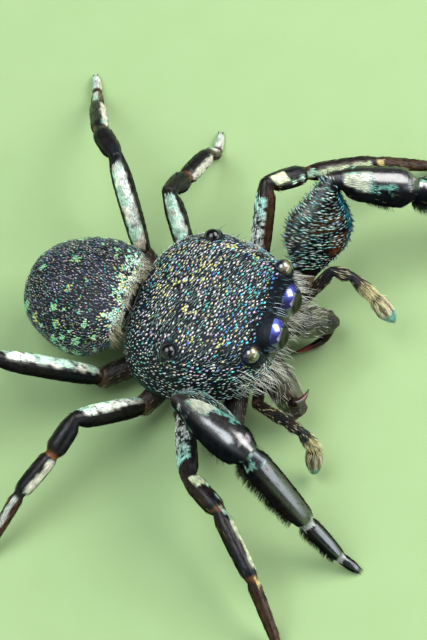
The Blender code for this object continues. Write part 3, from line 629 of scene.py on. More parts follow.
def fang_sheets(letter, side):
    """The curved fang and the knuckle that joins it to its jaw."""
    base, end = beside(CHELICERA_BASE, side), beside(CHELICERA_END, side)
    axis = unit(end - base)
    place, way, length = FANGS[letter]
    root = end + place[0] * FORWARD - side * place[1] * RIGHT + place[2] * UP
    reach = length * unit(way[0] * FORWARD - side * way[1] * RIGHT + way[2] * UP)
    bulge = unit(axis - dot(axis, unit(reach)) * unit(reach))
    shares = np.linspace(0.0, 1.0, 14)
    fang = curved_sheet("fang_" + letter, root, reach, FANG_CURVE * bulge, frame_across(unit(reach), UP),
                        FANG_RADIUS * (1.0 - 0.88 * shares**1.3), 24, 0.02)
    foot = end + dot(root - end, axis) * axis
    start, finish = foot + 0.30 * (root - foot), root + 0.06 * unit(root - foot)
    knuckle = rod_sheet("knuckle_" + letter, start, finish, frame_across(unit(finish - start), UP), 1.0,
                        ((0.0, 0.15), (0.35, 0.14), (0.8, 0.105), (1.0, 0.06)), 20, 0.03)
    return fang, knuckle


def claw_sheets(name, side):
    """Two curved claws at the tip of a foot."""
    joints = leg_joints(name, side)
    axis = unit(joints[5] - joints[4])
    across = unit(np.cross(axis, ABOVE))
    radii = CLAW_RADIUS * (1 - 0.85 * np.linspace(0.0, 1.0, 7))
    for spread in (-1.0, 1.0):
        root = joints[5] - 0.06 * axis + 0.03 * spread * across + 0.02 * ABOVE
        reach = CLAW_LENGTH * axis + 0.03 * spread * across
        yield curved_sheet("claw", root, reach, 0.03 * ABOVE, (across, np.cross(across, axis)), radii, 8,
                           0.015)


def all_sheets():
    sheets = {"carapace": carapace_sheet(), "abdomen": abdomen_sheet()}
    for row, (name, side) in enumerate(LEGS.items()):
        sheets[name] = leg_sheet(name, side, row)
        forward, right = COXA_ROOT[name[3]]
        sheets["coxa" + name] = stub_sheet(on_body(forward, side * right, COXA_HEIGHT),
                                           leg_joints(name, side)[0], COXA_RADIUS[name[3]], 24,
                                           (0.52, 0.02 + 0.06 * row, 0.10, 0.052))
    for row, (letter, side) in enumerate(SIDES.items()):
        name = "palp_" + letter
        sheets[name] = palp_sheet(name, side, row)
        sheets["neck" + name] = stub_sheet(beside(PALP_ROOT, side), beside(PALP[name][0], side),
                                           PALP_NECK, 18)
        sheets["jaw_" + letter] = jaw_sheet(letter, side, row)
    sheets["pedicel"] = pedicel_sheet()
    for k, sheet in enumerate(spinneret_sheets()):
        sheets[f"spinneret{k}"] = sheet
    sheets["sternum"] = underside_sheet("sternum", STERNUM, (0.66, 0.47, 0.15, 0.04))
    sheets["mouthparts"] = underside_sheet("mouthparts", MOUTH, (0.83, 0.47, 0.15, 0.04))
    return sheets


# Markings: colours of the skin, in linear light

BLACK = np.array((0.006, 0.007, 0.009))
BLUE_BLACK = np.array((0.007, 0.010, 0.016))
VIOLET_BLACK = np.array((0.015, 0.015, 0.026))
BROWN = np.array((0.055, 0.026, 0.014))
DARK_BROWN = np.array((0.026, 0.014, 0.010))
ORANGE = np.array((0.17, 0.060, 0.018))
CREAM = np.array((0.92, 0.90, 0.72))
WHITE = np.array((0.86, 0.90, 0.84))
OLIVE = np.array((0.050, 0.050, 0.030))
# How brown each pair of legs is, and how bright its pale markings are
LEG_BROWN = {"1": 0.25, "2": 0.75, "3": 0.35, "4": 0.25}
MARKING_STRENGTH = {"1": 0.45, "2": 0.75, "3": 1.0, "4": 1.0}


def carapace_tint(sheet):
    forward, _, up = body_places(sheet.grid)
    lower = 1 - ramp(up, -0.15, 0.25)
    return layered(BLACK, (BLUE_BLACK, ramp(up, 0.4, 1.4)),
                   ((0.012, 0.085, 0.078), lower * ramp(-forward, 0.2, 1.2)),
                   (OLIVE, pulse(forward, 1.55, 2.4, 0.15) * (1 - ramp(up, 0.6, 1.0))))


def abdomen_tint(sheet):
    along, _, high = abdomen_places(sheet.grid)
    # The lower front of the abdomen is tinted yellow-green: painted green light reflected up from below.
    return layered(VIOLET_BLACK, (BLACK, specks(sheet.grid, 0.5, 8, 0.35, 0.7)),
                   ((0.10, 0.15, 0.02), (1 - ramp(high, -0.55, -0.05)) * (1 - ramp(along, 0.3, 0.9))),
                   ((0.035, 0.022, 0.012), (1 - ramp(along, -1.20, -1.02)) * (1 - ramp(high, 0.3, 0.8))))


def stripe_share(sheet, places, dorsal, front, points):
    """How much of the pale marking covers each point of a leg, from its segment and its angle."""
    number, rough = sheet.name[3], 0.16 * (noise(points, 0.14, 21) - 0.5)
    t = places + 0.06 * (noise(points, 0.20, 22) - 0.5)
    fine = specks(points, 0.09, 5, 0.42, 0.58)

    def facing(up, ahead, grain, low, high):
        """Where the skin turns up and ahead by these parts, with an edge as ragged as the grain."""
        return ramp(up * dorsal + ahead * front + grain * rough, low, high)

    if number == "1":
        base = pulse(t, 1.13, 1.36, 0.04) * facing(0.62, 0.78, 0.7, 0.80, 0.90)
        edge = pulse(t, 1.34, 1.66, 0.06) * facing(0.30, 0.95, 0.4, 0.93, 0.98)
        spot = pulse(t, 1.10, 1.19, 0.03) * facing(0.90, -0.42, 1, 0.90, 0.97)
        faint = pulse(t, 1.20, 1.32, 0.03) * facing(0.30, -0.95, 1, 0.90, 0.98)
        end = pulse(t, 1.88, 1.93, 0.02) * facing(0.8, 0.6, 1.5, 0.85, 1.0) * fine
        start = pulse(t, 2.03, 2.10, 0.02) * facing(1, 0, 2, 0.45, 0.7)
        ring = pulse(t, 2.975, 3.05, 0.015) + pulse(t, 3.96, 4.05, 0.02)
        return np.clip(base + (0.8 * edge + 0.8 * spot + 0.4 * faint + start) * fine + 0.55 * end
                       + 0.9 * ring * facing(1, 0, 1, 0.25, 0.55), 0, 1)
    if number == "2":
        femur = (pulse(t, 0.10, 0.74, 0.06) * facing(1, -1.2, 2, 0.3, 0.7)
                 * specks(points, 0.05, 6, 0.46, 0.56))
        tip = pulse(t, 0.76, 0.83, 0.04) * facing(1, -1.2, 2, 0.5, 0.8) * specks(points, 0.06, 7, 0.42, 0.52)
        patella = pulse(t, 1.10, 1.36, 0.04) * facing(1, 0.3, 1, 0.78, 0.92)
        line = pulse(t, 1.36, 1.80, 0.05) * facing(0.6, 0.8, 1, 0.93, 0.99) * fine
        tibia = pulse(t, 2.10, 2.86, 0.05) * facing(0.6, 0.8, 1, 0.90 - 0.10 * (t - 2), 0.98)
        ring = pulse(t, 2.03, 2.06, 0.02) + pulse(t, 3.02, 3.09, 0.02)
        return np.clip(0.8 * femur + tip + patella + 0.8 * line + tibia
                       + ring * facing(0.7, 0.7, 0, 0.7, 0.9) + 0.7 * pulse(t, 4.3, 5.0, 0.2), 0, 1)
    mark = 0.7 * pulse(t, 0.33, 0.35, 0.03) * specks(points, 0.15, 9, 0.3, 0.5)
    flecks = (0.8 if sheet.side > 0 else 0.2) * specks(points, 0.06, 10, 0.66, 0.76)
    femur = (pulse(t, 0.10, 0.90, 0.05) * facing(0.96, -0.28, 1.6, 0.66, 0.84)
             * (1 - np.maximum(mark, flecks)))
    tibia = pulse(t, 2.08, 2.86, 0.05) * facing(0.50, 0.85, 1, 0.80, 0.92)
    foot = 0.8 * pulse(t, 4.30, 5.0, 0.2) + 0.6 * pulse(t, 3.1, 3.8, 0.1) * facing(1, 0, 1, 0.84, 0.94)
    return np.clip(femur + tibia + foot, 0, 1)


def marking_colour(number, places, dorsal, front, points):
    """Cream, green or silver of the pale markings of a leg."""
    green = ramp(noise(points, 0.22, 41) - 0.30 * front, 0.50, 0.66)
    if number in "34":
        return layered(CREAM, ((0.94, 0.97, 0.88), ramp(dorsal, 0.85, 0.97)),
                       ((0.62, 0.50, 0.34), 0.7 * (1 - ramp(places, 0.12, 0.36))),
                       ((0.46, 0.88, 0.68), 0.60 * green))
    if number == "2":
        return layered(WHITE, ((0.50, 0.88, 0.74), ramp(places, 0.4, 0.8)),
                       ((0.86, 0.94, 0.60), ramp(places, 1.0, 1.1)),
                       ((0.56, 0.82, 0.62), ramp(places, 1.36, 1.45) * (1 - ramp(places, 2.10, 2.2))),
                       ((0.84, 0.68, 0.26), pulse(places, 2.98, 3.12, 0.03)))
    return layered((0.92, 0.97, 0.76), ((0.50, 0.90, 0.66), green),
                   ((0.28, 0.66, 0.54), ramp(places, 1.32, 1.42) * (1 - ramp(places, 1.70, 1.80))),
                   ((0.78, 0.66, 0.72), ramp(places, 1.78, 1.85) * (1 - ramp(places, 1.96, 2.0))),
                   ((0.36, 0.76, 0.64), pulse(places, 2.0, 2.12, 0.02) * specks(points, 0.15, 42, 0.4, 0.5)),
                   (WHITE, ramp(places, 2.5, 2.9)))


def marking_light(places):
    """How bright a marking is: a little duller from the tibia on."""
    return 1 - 0.3 * ramp(places, 1.9, 2.1)


def femur_facing(normal, side):
    """How far each point of a front femur faces ahead, from -1 to 1."""
    return dot(normal, unit(FORWARD + 0.3 * side * RIGHT))


def rust_share(facing, places):
    """How much each point belongs to the rusty patch of a front femur."""
    return pulse(facing, 0.48, 0.72, 0.08) * pulse(places, 0.34, 0.72, 0.08)


def leg_tint(sheet):
    (dorsal, front), places = sheet.angles, sheet.places
    number = sheet.name[3]
    tint = blend(BLACK, DARK_BROWN, LEG_BROWN[number] * specks(sheet.grid, 0.6, 31, 0.3, 0.7))
    if number == "1":
        facing = femur_facing(sheet.normal, sheet.side)
        tint = layered(tint,
                       ((0.055, 0.026, 0.012),
                        pulse(places, 0.25, 0.95, 0.1) * specks(sheet.grid, 0.3, 33, 0.5, 0.60)),
                       ((0.10, 0.034, 0.011),
                        rust_share(facing, places) * specks(sheet.grid, 0.3, 34, 0.35, 0.5)),
                       ((0.010, 0.15, 0.22), ramp(facing, 0.78, 0.90) * pulse(places, 0.2, 0.92, 0.1)))
    else:
        rings = pulse(places, 1.97, 2.03, 0.02) + 0.6 * pulse(places, 2.97, 3.02, 0.02)
        tint = layered(tint, (BROWN, 0.8 * ramp(places, 2.95, 3.2)),
                       (ORANGE, 0.8 * np.clip(rings, 0, 1) * specks(sheet.grid, 0.2, 35, 0.30, 0.55)),
                       (DARK_BROWN, 1 - ramp(places, 0.05, 0.16)))
        if number == "2" and sheet.side < 0:
            tint = blend(tint, (0.050, 0.020, 0.008), pulse(places, 0.2, 0.9, 0.1) * ramp(front, 0.1, 0.6))
    share = stripe_share(sheet, places, dorsal, front, sheet.grid)
    colour = marking_colour(number, places, dorsal, front, sheet.grid)
    strength = MARKING_STRENGTH[number] * marking_light(places)
    return blend(tint, strength[..., None] * colour, share)


def palp_stripes(dorsal, front, places):
    """The dark lines that run along the end of a palp."""
    return ramp(np.sin(7 * np.arctan2(dorsal, front) + 2 * places), 0.1, 0.5)


def palp_tint(sheet):
    (dorsal, front), places = sheet.angles, sheet.places
    return layered(BLACK, (DARK_BROWN, specks(sheet.grid, 0.3, 51, 0.3, 0.7)),
                   ((0.30, 0.25, 0.12), pulse(places, 2.45, 2.95, 0.1)),
                   ((0.42, 0.36, 0.20), ramp(places, 3.05, 3.25)),
                   (BROWN, 0.8 * (palp_stripes(dorsal, front, places) * ramp(places, 3.1, 3.3))),
                   ((0.10, 0.36, 0.30), 0.8 * ramp(places, 3.55, 3.75) * ramp(dorsal, -0.2, 0.3)))


def jaw_underside_painted_shade(normal, side):
    """How far each point lies on the outer underside of a jaw, which is painted dark as shade."""
    return ramp(dot(normal, unit(0.8 * side * RIGHT - UP)), 0.35, 0.75)


def jaw_tint(sheet):
    end = ramp(sheet.places + 0.1 * noise(sheet.grid, 0.2, 63), 0.78, 0.86)
    # Painted shade: the outer underside of the jaw is darkened nearly to black.
    return layered((0.070, 0.076, 0.034), ((0.012, 0.012, 0.007), specks(sheet.grid, 0.16, 61, 0.35, 0.60)),
                   (BROWN, 0.6 * specks(sheet.grid, 0.22, 62, 0.60, 0.72) * ramp(sheet.places, 0.3, 0.6)),
                   ((0.006, 0.005, 0.004), jaw_underside_painted_shade(sheet.normal, sheet.side)),
                   ((0.014, 0.008, 0.005), end * specks(sheet.grid, 0.14, 66, 0.25, 0.50)))


def plain_tint(sheet):
    tint = blend((0.012, 0.009, 0.007), DARK_BROWN, specks(sheet.grid, 0.3, 71, 0.35, 0.65))
    if sheet.name == "coxa":
        tint = blend(tint, (0.070, 0.036, 0.016), pulse(sheet.places, 0.80, 0.92, 0.05))
    return tint


def tint_of(sheet):
    for start, paint in (("carapace", carapace_tint), ("abdomen", abdomen_tint), ("leg", leg_tint),
                         ("palp", palp_tint), ("jaw", jaw_tint)):
        if sheet.name.startswith(start):
            return paint(sheet)
    return plain_tint(sheet)


def gloss_of(sheet):
    """How much the skin mirrors its surroundings: legs shine on their upper side only."""
    dorsal, front = sheet.angles
    if sheet.name.startswith("leg1"):
        return ramp(0.90 * dorsal + 0.45 * front, 0.72, 0.94)
    if sheet.name.startswith(("leg", "palp")):
        return ramp(dorsal, 0.1, 0.8)
    return np.ones(dorsal.shape)


# Meshes


def lens_centre_packed():
    low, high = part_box("eye_am_r")
    return np.array((low + high) / 2) / MM


SHIFT = lens_centre_packed() - on_body(*EYES["am"][:3])


def packed(points):
    """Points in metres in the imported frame."""
    return (np.asarray(points) + SHIFT) * MM


def mesh_object(name, points, faces, tint=None, uv=None, material=None, gloss=None):
    """A smooth mesh object. All faces have as many corners as each other."""
    mesh = bpy.data.meshes.new(name)
    mesh.vertices.add(len(points))
    mesh.vertices.foreach_set("co", packed(points).astype(np.float32).ravel())
    count, corners = faces.shape
    mesh.loops.add(faces.size)
    mesh.loops.foreach_set("vertex_index", faces.astype(np.int32).ravel())
    mesh.polygons.add(count)
    mesh.polygons.foreach_set("loop_start", np.arange(count, dtype=np.int32) * corners)
    mesh.update(calc_edges=True)
    mesh.validate()
    if tint is not None:
        layer = mesh.color_attributes.new(name="tint", type="FLOAT_COLOR", domain="POINT")
        layer.data.foreach_set("color", np.hstack((tint, np.ones((len(tint), 1)))).astype(np.float32).ravel())
    if gloss is not None:
        layer = mesh.attributes.new(name="gloss", type="FLOAT", domain="POINT")
        layer.data.foreach_set("value", gloss.astype(np.float32))
    if uv is not None:
        layer = mesh.uv_layers.new(name="OFBake")
        layer.data.foreach_set("uv", uv[faces.ravel()].astype(np.float32).ravel())
    mesh.shade_smooth()
    made = bpy.data.objects.new(name, mesh)
    bpy.context.scene.collection.objects.link(made)
    if material is not None:
        mesh.materials.append(material)
    return made


def merged(parts):
    """Many parts as one. Each holds its points, its faces and any further columns, such as tints."""
    points, faces, *columns = zip(*parts)
    offsets = np.cumsum([0] + [len(part) for part in points[:-1]])
    faces = [part + offset for part, offset in zip(faces, offsets)]
    return [np.concatenate(column) for column in (points, faces, *columns)]


def tube_faces(rows, sides):
    """Quads of a tube that is open at both ends."""
    r, c = np.meshgrid(np.arange(rows - 1), np.arange(sides), indexing="ij")
    near, far = r * sides + c, (r + 1) * sides + c
    n = (c + 1) % sides
    return np.stack((near, r * sides + n, (r + 1) * sides + n, far), axis=-1).reshape(-1, 4)


def capped(sheet):
    """Points, faces, tints and gloss of a sheet, its ends closed by fans of quads round a middle point."""
    rows, sides, _ = sheet.grid.shape
    points = sheet.grid.reshape(-1, 3)
    k = np.arange(0, sides, 2)
    fans = []
    for base, centre in ((0, len(points)), ((rows - 1) * sides, len(points) + 1)):
        fan = np.stack((base + k, base + (k + 1) % sides, base + (k + 2) % sides,
                        np.full_like(k, centre)), axis=-1)
        fans.append(fan if base else fan[:, ::-1])
    faces = np.vstack([tube_faces(rows, sides)] + fans)
    corner, ahead, beyond = sheet.grid[0, 0], sheet.grid[1, 0], sheet.grid[0, 1]
    if dot(np.cross(ahead - corner, beyond - corner), sheet.normal[0, 0]) > 0:
        faces = faces[:, ::-1]
    tint = tint_of(sheet).reshape(-1, 3)
    gloss = gloss_of(sheet).ravel()
    return (np.vstack((points, sheet.grid[0].mean(axis=0), sheet.grid[-1].mean(axis=0))), faces,
            np.vstack((tint, tint[0], tint[-1])), np.append(gloss, (gloss[0], gloss[-1])))


def join_sheets(name, sheets, materials):
    """One object of many sheets. Materials go by the start of a sheet's name."""
    parts = []
    for sheet in sheets:
        part = capped(sheet)
        number = next(k for k, (start, _) in enumerate(materials) if sheet.name.startswith(start))
        parts.append((*part, np.full(len(part[1]), number, dtype=np.int32)))
    points, faces, tint, gloss, slots = merged(parts)
    made = mesh_object(name, points, faces, tint, gloss=gloss)
    for _, material in materials:
        made.data.materials.append(material)
    made.data.polygons.foreach_set("material_index", slots)
    return made


# Materials


def new_material(name):
    made = bpy.data.materials.new(name)
    made.use_nodes = True
    tree = made.node_tree
    return made, tree, tree.nodes["Principled BSDF"]


def add(tree, kind, inputs=None, **settings):
    """A new node with its inputs and settings."""
    node = tree.nodes.new(kind)
    for key, value in settings.items():
        setattr(node, key, value)
    for key, value in (inputs or {}).items():
        node.inputs[key].default_value = value
    return node


def noise_output(tree, scale):
    place = add(tree, "ShaderNodeTexCoord")
    node = add(tree, "ShaderNodeTexNoise", {"Scale": scale, "Detail": 3.0, "Roughness": 0.55})
    tree.links.new(place.outputs["Object"], node.inputs["Vector"])
    return node.outputs["Fac"]


def noise_between(tree, scale, low, high):
    """Noise spread over the values from low to high."""
    grain = noise_output(tree, scale)
    spread = add(tree, "ShaderNodeMapRange",
                 {"From Min": 0.3, "From Max": 0.7, "To Min": low, "To Max": high})
    tree.links.new(grain, spread.inputs["Value"])
    return spread.outputs["Result"]


def tinted(tree, shader, scale, low, high):
    """The mesh's own tint, made lighter and darker by noise."""
    tint = add(tree, "ShaderNodeAttribute", attribute_name="tint")
    level = noise_between(tree, scale, low, high)
    product = add(tree, "ShaderNodeVectorMath", operation="SCALE")
    tree.links.new(tint.outputs["Color"], product.inputs[0])
    tree.links.new(level, product.inputs["Scale"])
    tree.links.new(product.outputs["Vector"], shader.inputs["Base Color"])


def rough_by_noise(tree, shader, scale, low, high):
    tree.links.new(noise_between(tree, scale, low, high), shader.inputs["Roughness"])


def shine_by_mesh(tree, shader, specular, coat=0.0):
    """Specular level and clear coat, both times the mesh's own gloss."""
    gloss = add(tree, "ShaderNodeAttribute", attribute_name="gloss")
    for socket, level in (("Specular IOR Level", specular), ("Coat Weight", coat)):
        if level:
            product = add(tree, "ShaderNodeMath", {1: level}, operation="MULTIPLY")
            tree.links.new(gloss.outputs["Fac"], product.inputs[0])
            tree.links.new(product.outputs["Value"], shader.inputs[socket])


def bump_by(tree, shader, output, strength, distance):
    bump = add(tree, "ShaderNodeBump", {"Strength": strength, "Distance": distance * MM})
    tree.links.new(output, bump.inputs["Height"])
    tree.links.new(bump.outputs["Normal"], shader.inputs["Normal"])


def cuticle(name, grain, depth, low, high, pits=True, specular=0.5, ior=1.5):
    """Cuticle: its tint, a fine pitted relief and uneven gloss. Grain is the size of a pit in mm."""
    made, tree, shader = new_material(name)
    shader.inputs["IOR"].default_value = ior
    shine_by_mesh(tree, shader, specular)
    scale = 1.0 / (grain * MM)
    tinted(tree, shader, scale / 3, 0.55, 1.5)
    rough_by_noise(tree, shader, scale / 2, low, high)
    if pits:
        place = add(tree, "ShaderNodeTexCoord")
        cells = add(tree, "ShaderNodeTexVoronoi", {"Scale": scale})
        tree.links.new(place.outputs["Object"], cells.inputs["Vector"])
        bump_by(tree, shader, cells.outputs["Distance"], 0.6, depth)
    else:
        bump_by(tree, shader, noise_output(tree, scale), 0.5, depth)
    return made


def coat_material(name, roughness, metallic, low, high, grain, specular):
    """Scales or hairs: their own tint with fine variation, and uneven gloss."""
    made, tree, shader = new_material(name)
    scale = 1.0 / (grain * MM)
    tinted(tree, shader, scale, low, high)
    rough_by_noise(tree, shader, scale, 0.8 * roughness, min(1.0, 1.25 * roughness))
    shader.inputs["Metallic"].default_value = metallic
    shader.inputs["Specular IOR Level"].default_value = specular
    return made


def lens_material(name, specular, coat_ior):
    """An eye: its tint under a clear, very smooth surface, with faint clouds below."""
    made, tree, shader = new_material(name)
    tinted(tree, shader, 1.0 / (0.25 * MM), 0.85, 1.15)
    rough_by_noise(tree, shader, 1.0 / (0.2 * MM), 0.17, 0.19)
    shader.inputs["Coat Roughness"].default_value = 0.08
    shader.inputs["Coat IOR"].default_value = coat_ior
    shine_by_mesh(tree, shader, specular, 1.0)
    return made


def all_materials():
    return {
        "carapace": cuticle("carapace_cuticle", 0.045, 0.012, 0.45, 0.65, specular=0.18),
        "abdomen": cuticle("abdomen_cuticle", 0.05, 0.012, 0.45, 0.65, specular=0.2),
        "front_leg": cuticle("front_leg_cuticle", 0.06, 0.003, 0.20, 0.30, False, 1.0, 1.7),
        "leg": cuticle("leg_cuticle", 0.05, 0.005, 0.26, 0.42, False, 0.25),
        "jaw": cuticle("jaw_cuticle", 0.06, 0.016, 0.22, 0.5, specular=0.4),
        "underside": cuticle("underside_cuticle", 0.06, 0.008, 0.4, 0.6),
        "scale": coat_material("scale_sheen", 0.30, 0.12, 0.8, 1.2, 0.12, 0.9),
        "dark_hair": coat_material("dark_hair", 0.42, 0.0, 0.6, 1.4, 0.15, 0.06),
        "pale_hair": coat_material("pale_hair", 0.5, 0.0, 0.75, 1.2, 0.2, 0.5),
        "leg_hair": coat_material("leg_hair", 0.38, 0.0, 0.75, 1.25, 0.15, 0.03),
        "brush_hair": coat_material("brush_hair", 0.45, 0.0, 0.6, 1.4, 0.1, 0.05),
        "lens": lens_material("lens_clear", 0.6, 1.9),
        "small_lens": lens_material("lens_dark", 0.3, 1.4),
        "fang": cuticle("fang_cuticle", 0.15, 0.002, 0.12, 0.25, False),
    }


# Coat

PATCH = 0.003                    # size of one scale's or hair's place on the unwrap
SEED_TRIES = 2.6                 # places tried for each square of the spacing
LIFT = 0.004                     # height of a scale's root above the skin
FINE_HAIR = 0.011                # width of the long pale hairs


class Seeds:
    """Places on a sheet from which scales or hairs grow."""

    def __init__(self, sheet, rows, columns):
        grid = sheet.grid
        r, c = np.floor(rows).astype(int), np.floor(columns).astype(int)
        fr, fc = (rows - r)[:, None], (columns - c)[:, None]
        n = (c + 1) % grid.shape[1]

        def at(table):
            return ((1 - fr) * ((1 - fc) * table[r, c] + fc * table[r, n])
                    + fr * ((1 - fc) * table[r + 1, c] + fc * table[r + 1, n]))

        self.side = sheet.side
        self.point = at(grid)
        self.normal = unit(at(sheet.normal))
        self.along = unit(at(sheet.along))
        self.place = np.interp(rows, np.arange(grid.shape[0]), sheet.place)
        self.angle = 2 * np.pi * (columns + 0.5) / grid.shape[1]
        x, y, w, h = sheet.patch
        self.uv = np.stack((x + w * rows / grid.shape[0], y + h * columns / grid.shape[1]), axis=1)

    def __len__(self):
        return len(self.point)

    def only(self, kept):
        made = object.__new__(Seeds)
        made.side = self.side
        for key in ("point", "normal", "along", "place", "angle", "uv"):
            setattr(made, key, getattr(self, key)[kept])
        return made

    @property
    def dorsal(self):
        return np.sin(self.angle)

    @property
    def front(self):
        return -self.side * np.cos(self.angle)


def scatter(sheet, spacing, rng, limit=1.0):
    """Seeds spread over the sheet that keep about the spacing from each other. The limit picks a region."""
    grid = sheet.grid
    a = grid[1:] - grid[:-1]
    b = np.roll(grid, -1, axis=1)[:-1] - grid[:-1]
    area = np.linalg.norm(np.cross(a, b), axis=-1) * limit
    count = int(SEED_TRIES * area.sum() / spacing**2)
    edges = np.cumsum(area.ravel())
    cells = np.searchsorted(edges, rng.random(count) * edges[-1])
    r, c = np.divmod(np.minimum(cells, area.size - 1), area.shape[1])
    seeds = Seeds(sheet, r + rng.random(count) * 0.999, c + rng.random(count) * 0.999)
    return seeds.only(apart(seeds.point, spacing))


def apart(points, spacing):
    """Indices of points that keep the spacing from each other."""
    kept, cells = [], {}
    around = list(itertools.product((-1, 0, 1), repeat=3))
    keys = np.floor(points / spacing).astype(int)
    for k, (point, (i, j, m)) in enumerate(zip(points.tolist(), keys.tolist())):
        x, y, z = point
        near = False
        for di, dj, dm in around:
            for other in cells.get((i + di, j + dj, m + dm), ()):
                if (other[0] - x) ** 2 + (other[1] - y) ** 2 + (other[2] - z) ** 2 < spacing**2:
                    near = True
                    break
            if near:
                break
        else:
            cells.setdefault((i, j, m), []).append(point)
            kept.append(k)
    return np.array(kept, dtype=int)


def in_surface(way, normal):
    """The way laid into the surface."""
    return unit(way - dot(way, normal)[..., None] * normal)


def shaken(rng, seeds, amount):
    """For each seed a random offset of up to half the amount along each axis."""
    return amount * (rng.random((len(seeds), 3)) - 0.5)


def jittered(rng, seeds, share):
    """For each seed a random factor round 1."""
    return 1.0 + share * (2 * rng.random(len(seeds)) - 1)


def chance(rng, seeds, odds):
    """True for a random choice of the seeds, as often as the odds say."""
    return rng.random(len(seeds)) < odds


def copies(seeds, points, corners, local, tint):
    """Points, faces, tints and unwrap of one small shape at each seed."""
    count, each = points.shape[:2]
    faces = (np.array(corners)[None] + each * np.arange(count)[:, None, None]).reshape(-1, 3)
    uv = (seeds.uv[:, None] + PATCH * (np.asarray(local) - 0.5)[None]).reshape(-1, 2)
    return points.reshape(-1, 3), faces, np.repeat(np.broadcast_to(tint, (count, 3)), each, axis=0), uv


def column(value, seeds):
    """The value as a column with one row for each seed."""
    return np.broadcast_to(value, len(seeds))[:, None]


def leaves(seeds, way, length, width, thickness, tint):
    """Flat closed scales, widest beyond their middle, that rise slightly from root to tip."""
    root, normal = seeds.point + LIFT * seeds.normal, seeds.normal
    side = np.cross(way, normal)
    length, width = column(length, seeds), column(width, seeds)
    thick = thickness * width
    points = np.stack((
        root - 0.02 * length * normal,
        root + 0.55 * length * way + 0.5 * width * side,
        root + 0.55 * length * way - 0.5 * width * side,
        root + length * way,
        root + 0.5 * length * way + thick * normal,
        root + 0.5 * length * way - 0.3 * thick * normal), axis=1)
    corners = ((0, 1, 4), (1, 3, 4), (3, 2, 4), (2, 0, 4), (1, 0, 5), (3, 1, 5), (2, 3, 5), (0, 2, 5))
    local = ((0.5, 0.0), (1.0, 0.55), (0.0, 0.55), (0.5, 1.0), (0.5, 0.5), (0.5, 0.5))
    return copies(seeds, points, corners, local, tint)


def hairs(seeds, way, droop, length, width, tint, steps):
    """Thin three-sided hairs that leave their roots along the way and bend to the droop."""
    root = seeds.point
    length, width = column(length, root), column(width, root)
    hint = np.where(np.abs(way[:, 2:3]) < 0.9, ABOVE, RIGHT)
    side = unit(np.cross(way, hint))
    other = np.cross(side, unit(way))
    points, corners = [], [(0, 2, 1)]
    for k in range(steps):
        t = k / steps
        centre = root + length * (t * way + 0.5 * t * t * droop)
        radius = 0.5 * width * (1 - t) ** 0.6
        for turn in (0.0, 2 * math.pi / 3, 4 * math.pi / 3):
            points.append(centre + radius * (math.cos(turn) * side + math.sin(turn) * other))
    points.append(root + length * (way + 0.5 * droop))
    tip = 3 * steps
    for a, c in itertools.product(range(0, tip - 3, 3), range(3)):
        b, n = a + 3, (c + 1) % 3
        corners += [(a + c, a + n, b + n), (a + c, b + n, b + c)]
    corners += [(tip - 3 + c, tip - 3 + (c + 1) % 3, tip) for c in range(3)]
    shares = np.append(np.repeat(np.arange(steps) / steps, 3), 1.0)
    local = np.stack((np.append(np.tile((0.0, 0.5, 1.0), steps), 0.5), shares), axis=1)
    return copies(seeds, np.stack(points, axis=1), corners, local, tint)


def coat_object(name, parts, material):
    points, faces, tint, uv = merged(parts)
    made = mesh_object(name, points, faces, tint, uv, material)
    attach(made, "root")
    return made


def pick(rng, palette, *weights):
    """A colour of the palette for each seed, from one column of weights for each colour."""
    edges = np.cumsum(np.stack(np.broadcast_arrays(*weights), axis=1), axis=1)
    draw = rng.random(len(edges)) * edges[:, -1]
    chosen = (draw[:, None] > edges).sum(axis=1)
    return np.array(palette)[np.minimum(chosen, len(palette) - 1)]


# Scale colours: silver, rose, lilac, cyan, teal, blue, gold, green, peach
SCALE_COLOURS = ((0.86, 0.96, 0.90), (0.97, 0.68, 0.76), (0.64, 0.51, 0.97), (0.13, 0.74, 0.94),
                 (0.09, 0.64, 0.54), (0.09, 0.30, 0.94), (0.90, 0.88, 0.29), (0.36, 0.76, 0.22),
                 (0.96, 0.70, 0.47))
# Streaks of gold scales on the carapace: forward, right, reach ahead, reach across, slant
GOLD_STREAKS = ((-0.30, -0.15, 0.36, 0.040, -0.25), (-0.03, 0.60, 0.22, 0.080, 0.10),
                (0.99, 1.16, 0.13, 0.060, 0.0), (0.18, 1.25, 0.13, 0.060, 0.0),
                (0.05, -0.66, 0.24, 0.070, -0.10), (0.95, -1.16, 0.14, 0.060, 0.0),
                (0.30, -1.24, 0.20, 0.060, 0.0))


def streak_share(forward, right, up):
    """How much a place of the carapace belongs to one of the gold streaks."""
    share = 0.0
    for ahead, beyond, reach, breadth, slant in GOLD_STREAKS:
        along = (forward - ahead) / reach
        across = (right - beyond - slant * (forward - ahead)) / breadth
        share = np.maximum(share, np.exp(-along**4 - across**2))
    return share * (up > 1.0)


def clear_of_eyes(seeds, names, margin):
    """The seeds that lie further than the margin from each of the named eyes."""
    close = np.zeros(len(seeds), bool)
    for name, side in itertools.product(names, SIDES.values()):
        forward, right, up, radius, _, _ = EYES[name]
        far = np.linalg.norm(seeds.point - on_body(forward, side * right, up), axis=-1)
        close |= far < radius + margin
    return ~close


def carapace_ways(seeds):
    """The lie of the carapace's scales: obliquely ahead on top, towards the face on the flanks."""
    forward, right, up = body_places(seeds.point)
    flank = 1 - ramp(up, 0.9, 1.5)
    inward = -0.90 * (1 - ramp(-right, 0.9, 1.6)) + 0.3 * ramp(-right, 1.2, 1.7)
    rear = ramp(-forward, 0.5, 1.2)[:, None]
    way = (1 - rear) * (0.45 * FORWARD + inward[:, None] * RIGHT) + rear * (FORWARD - 0.35 * RIGHT)
    side_way = 0.80 * FORWARD + 0.45 * UP
    way = way * (1 - flank[:, None]) + side_way * flank[:, None]
    return in_surface(way, seeds.normal)


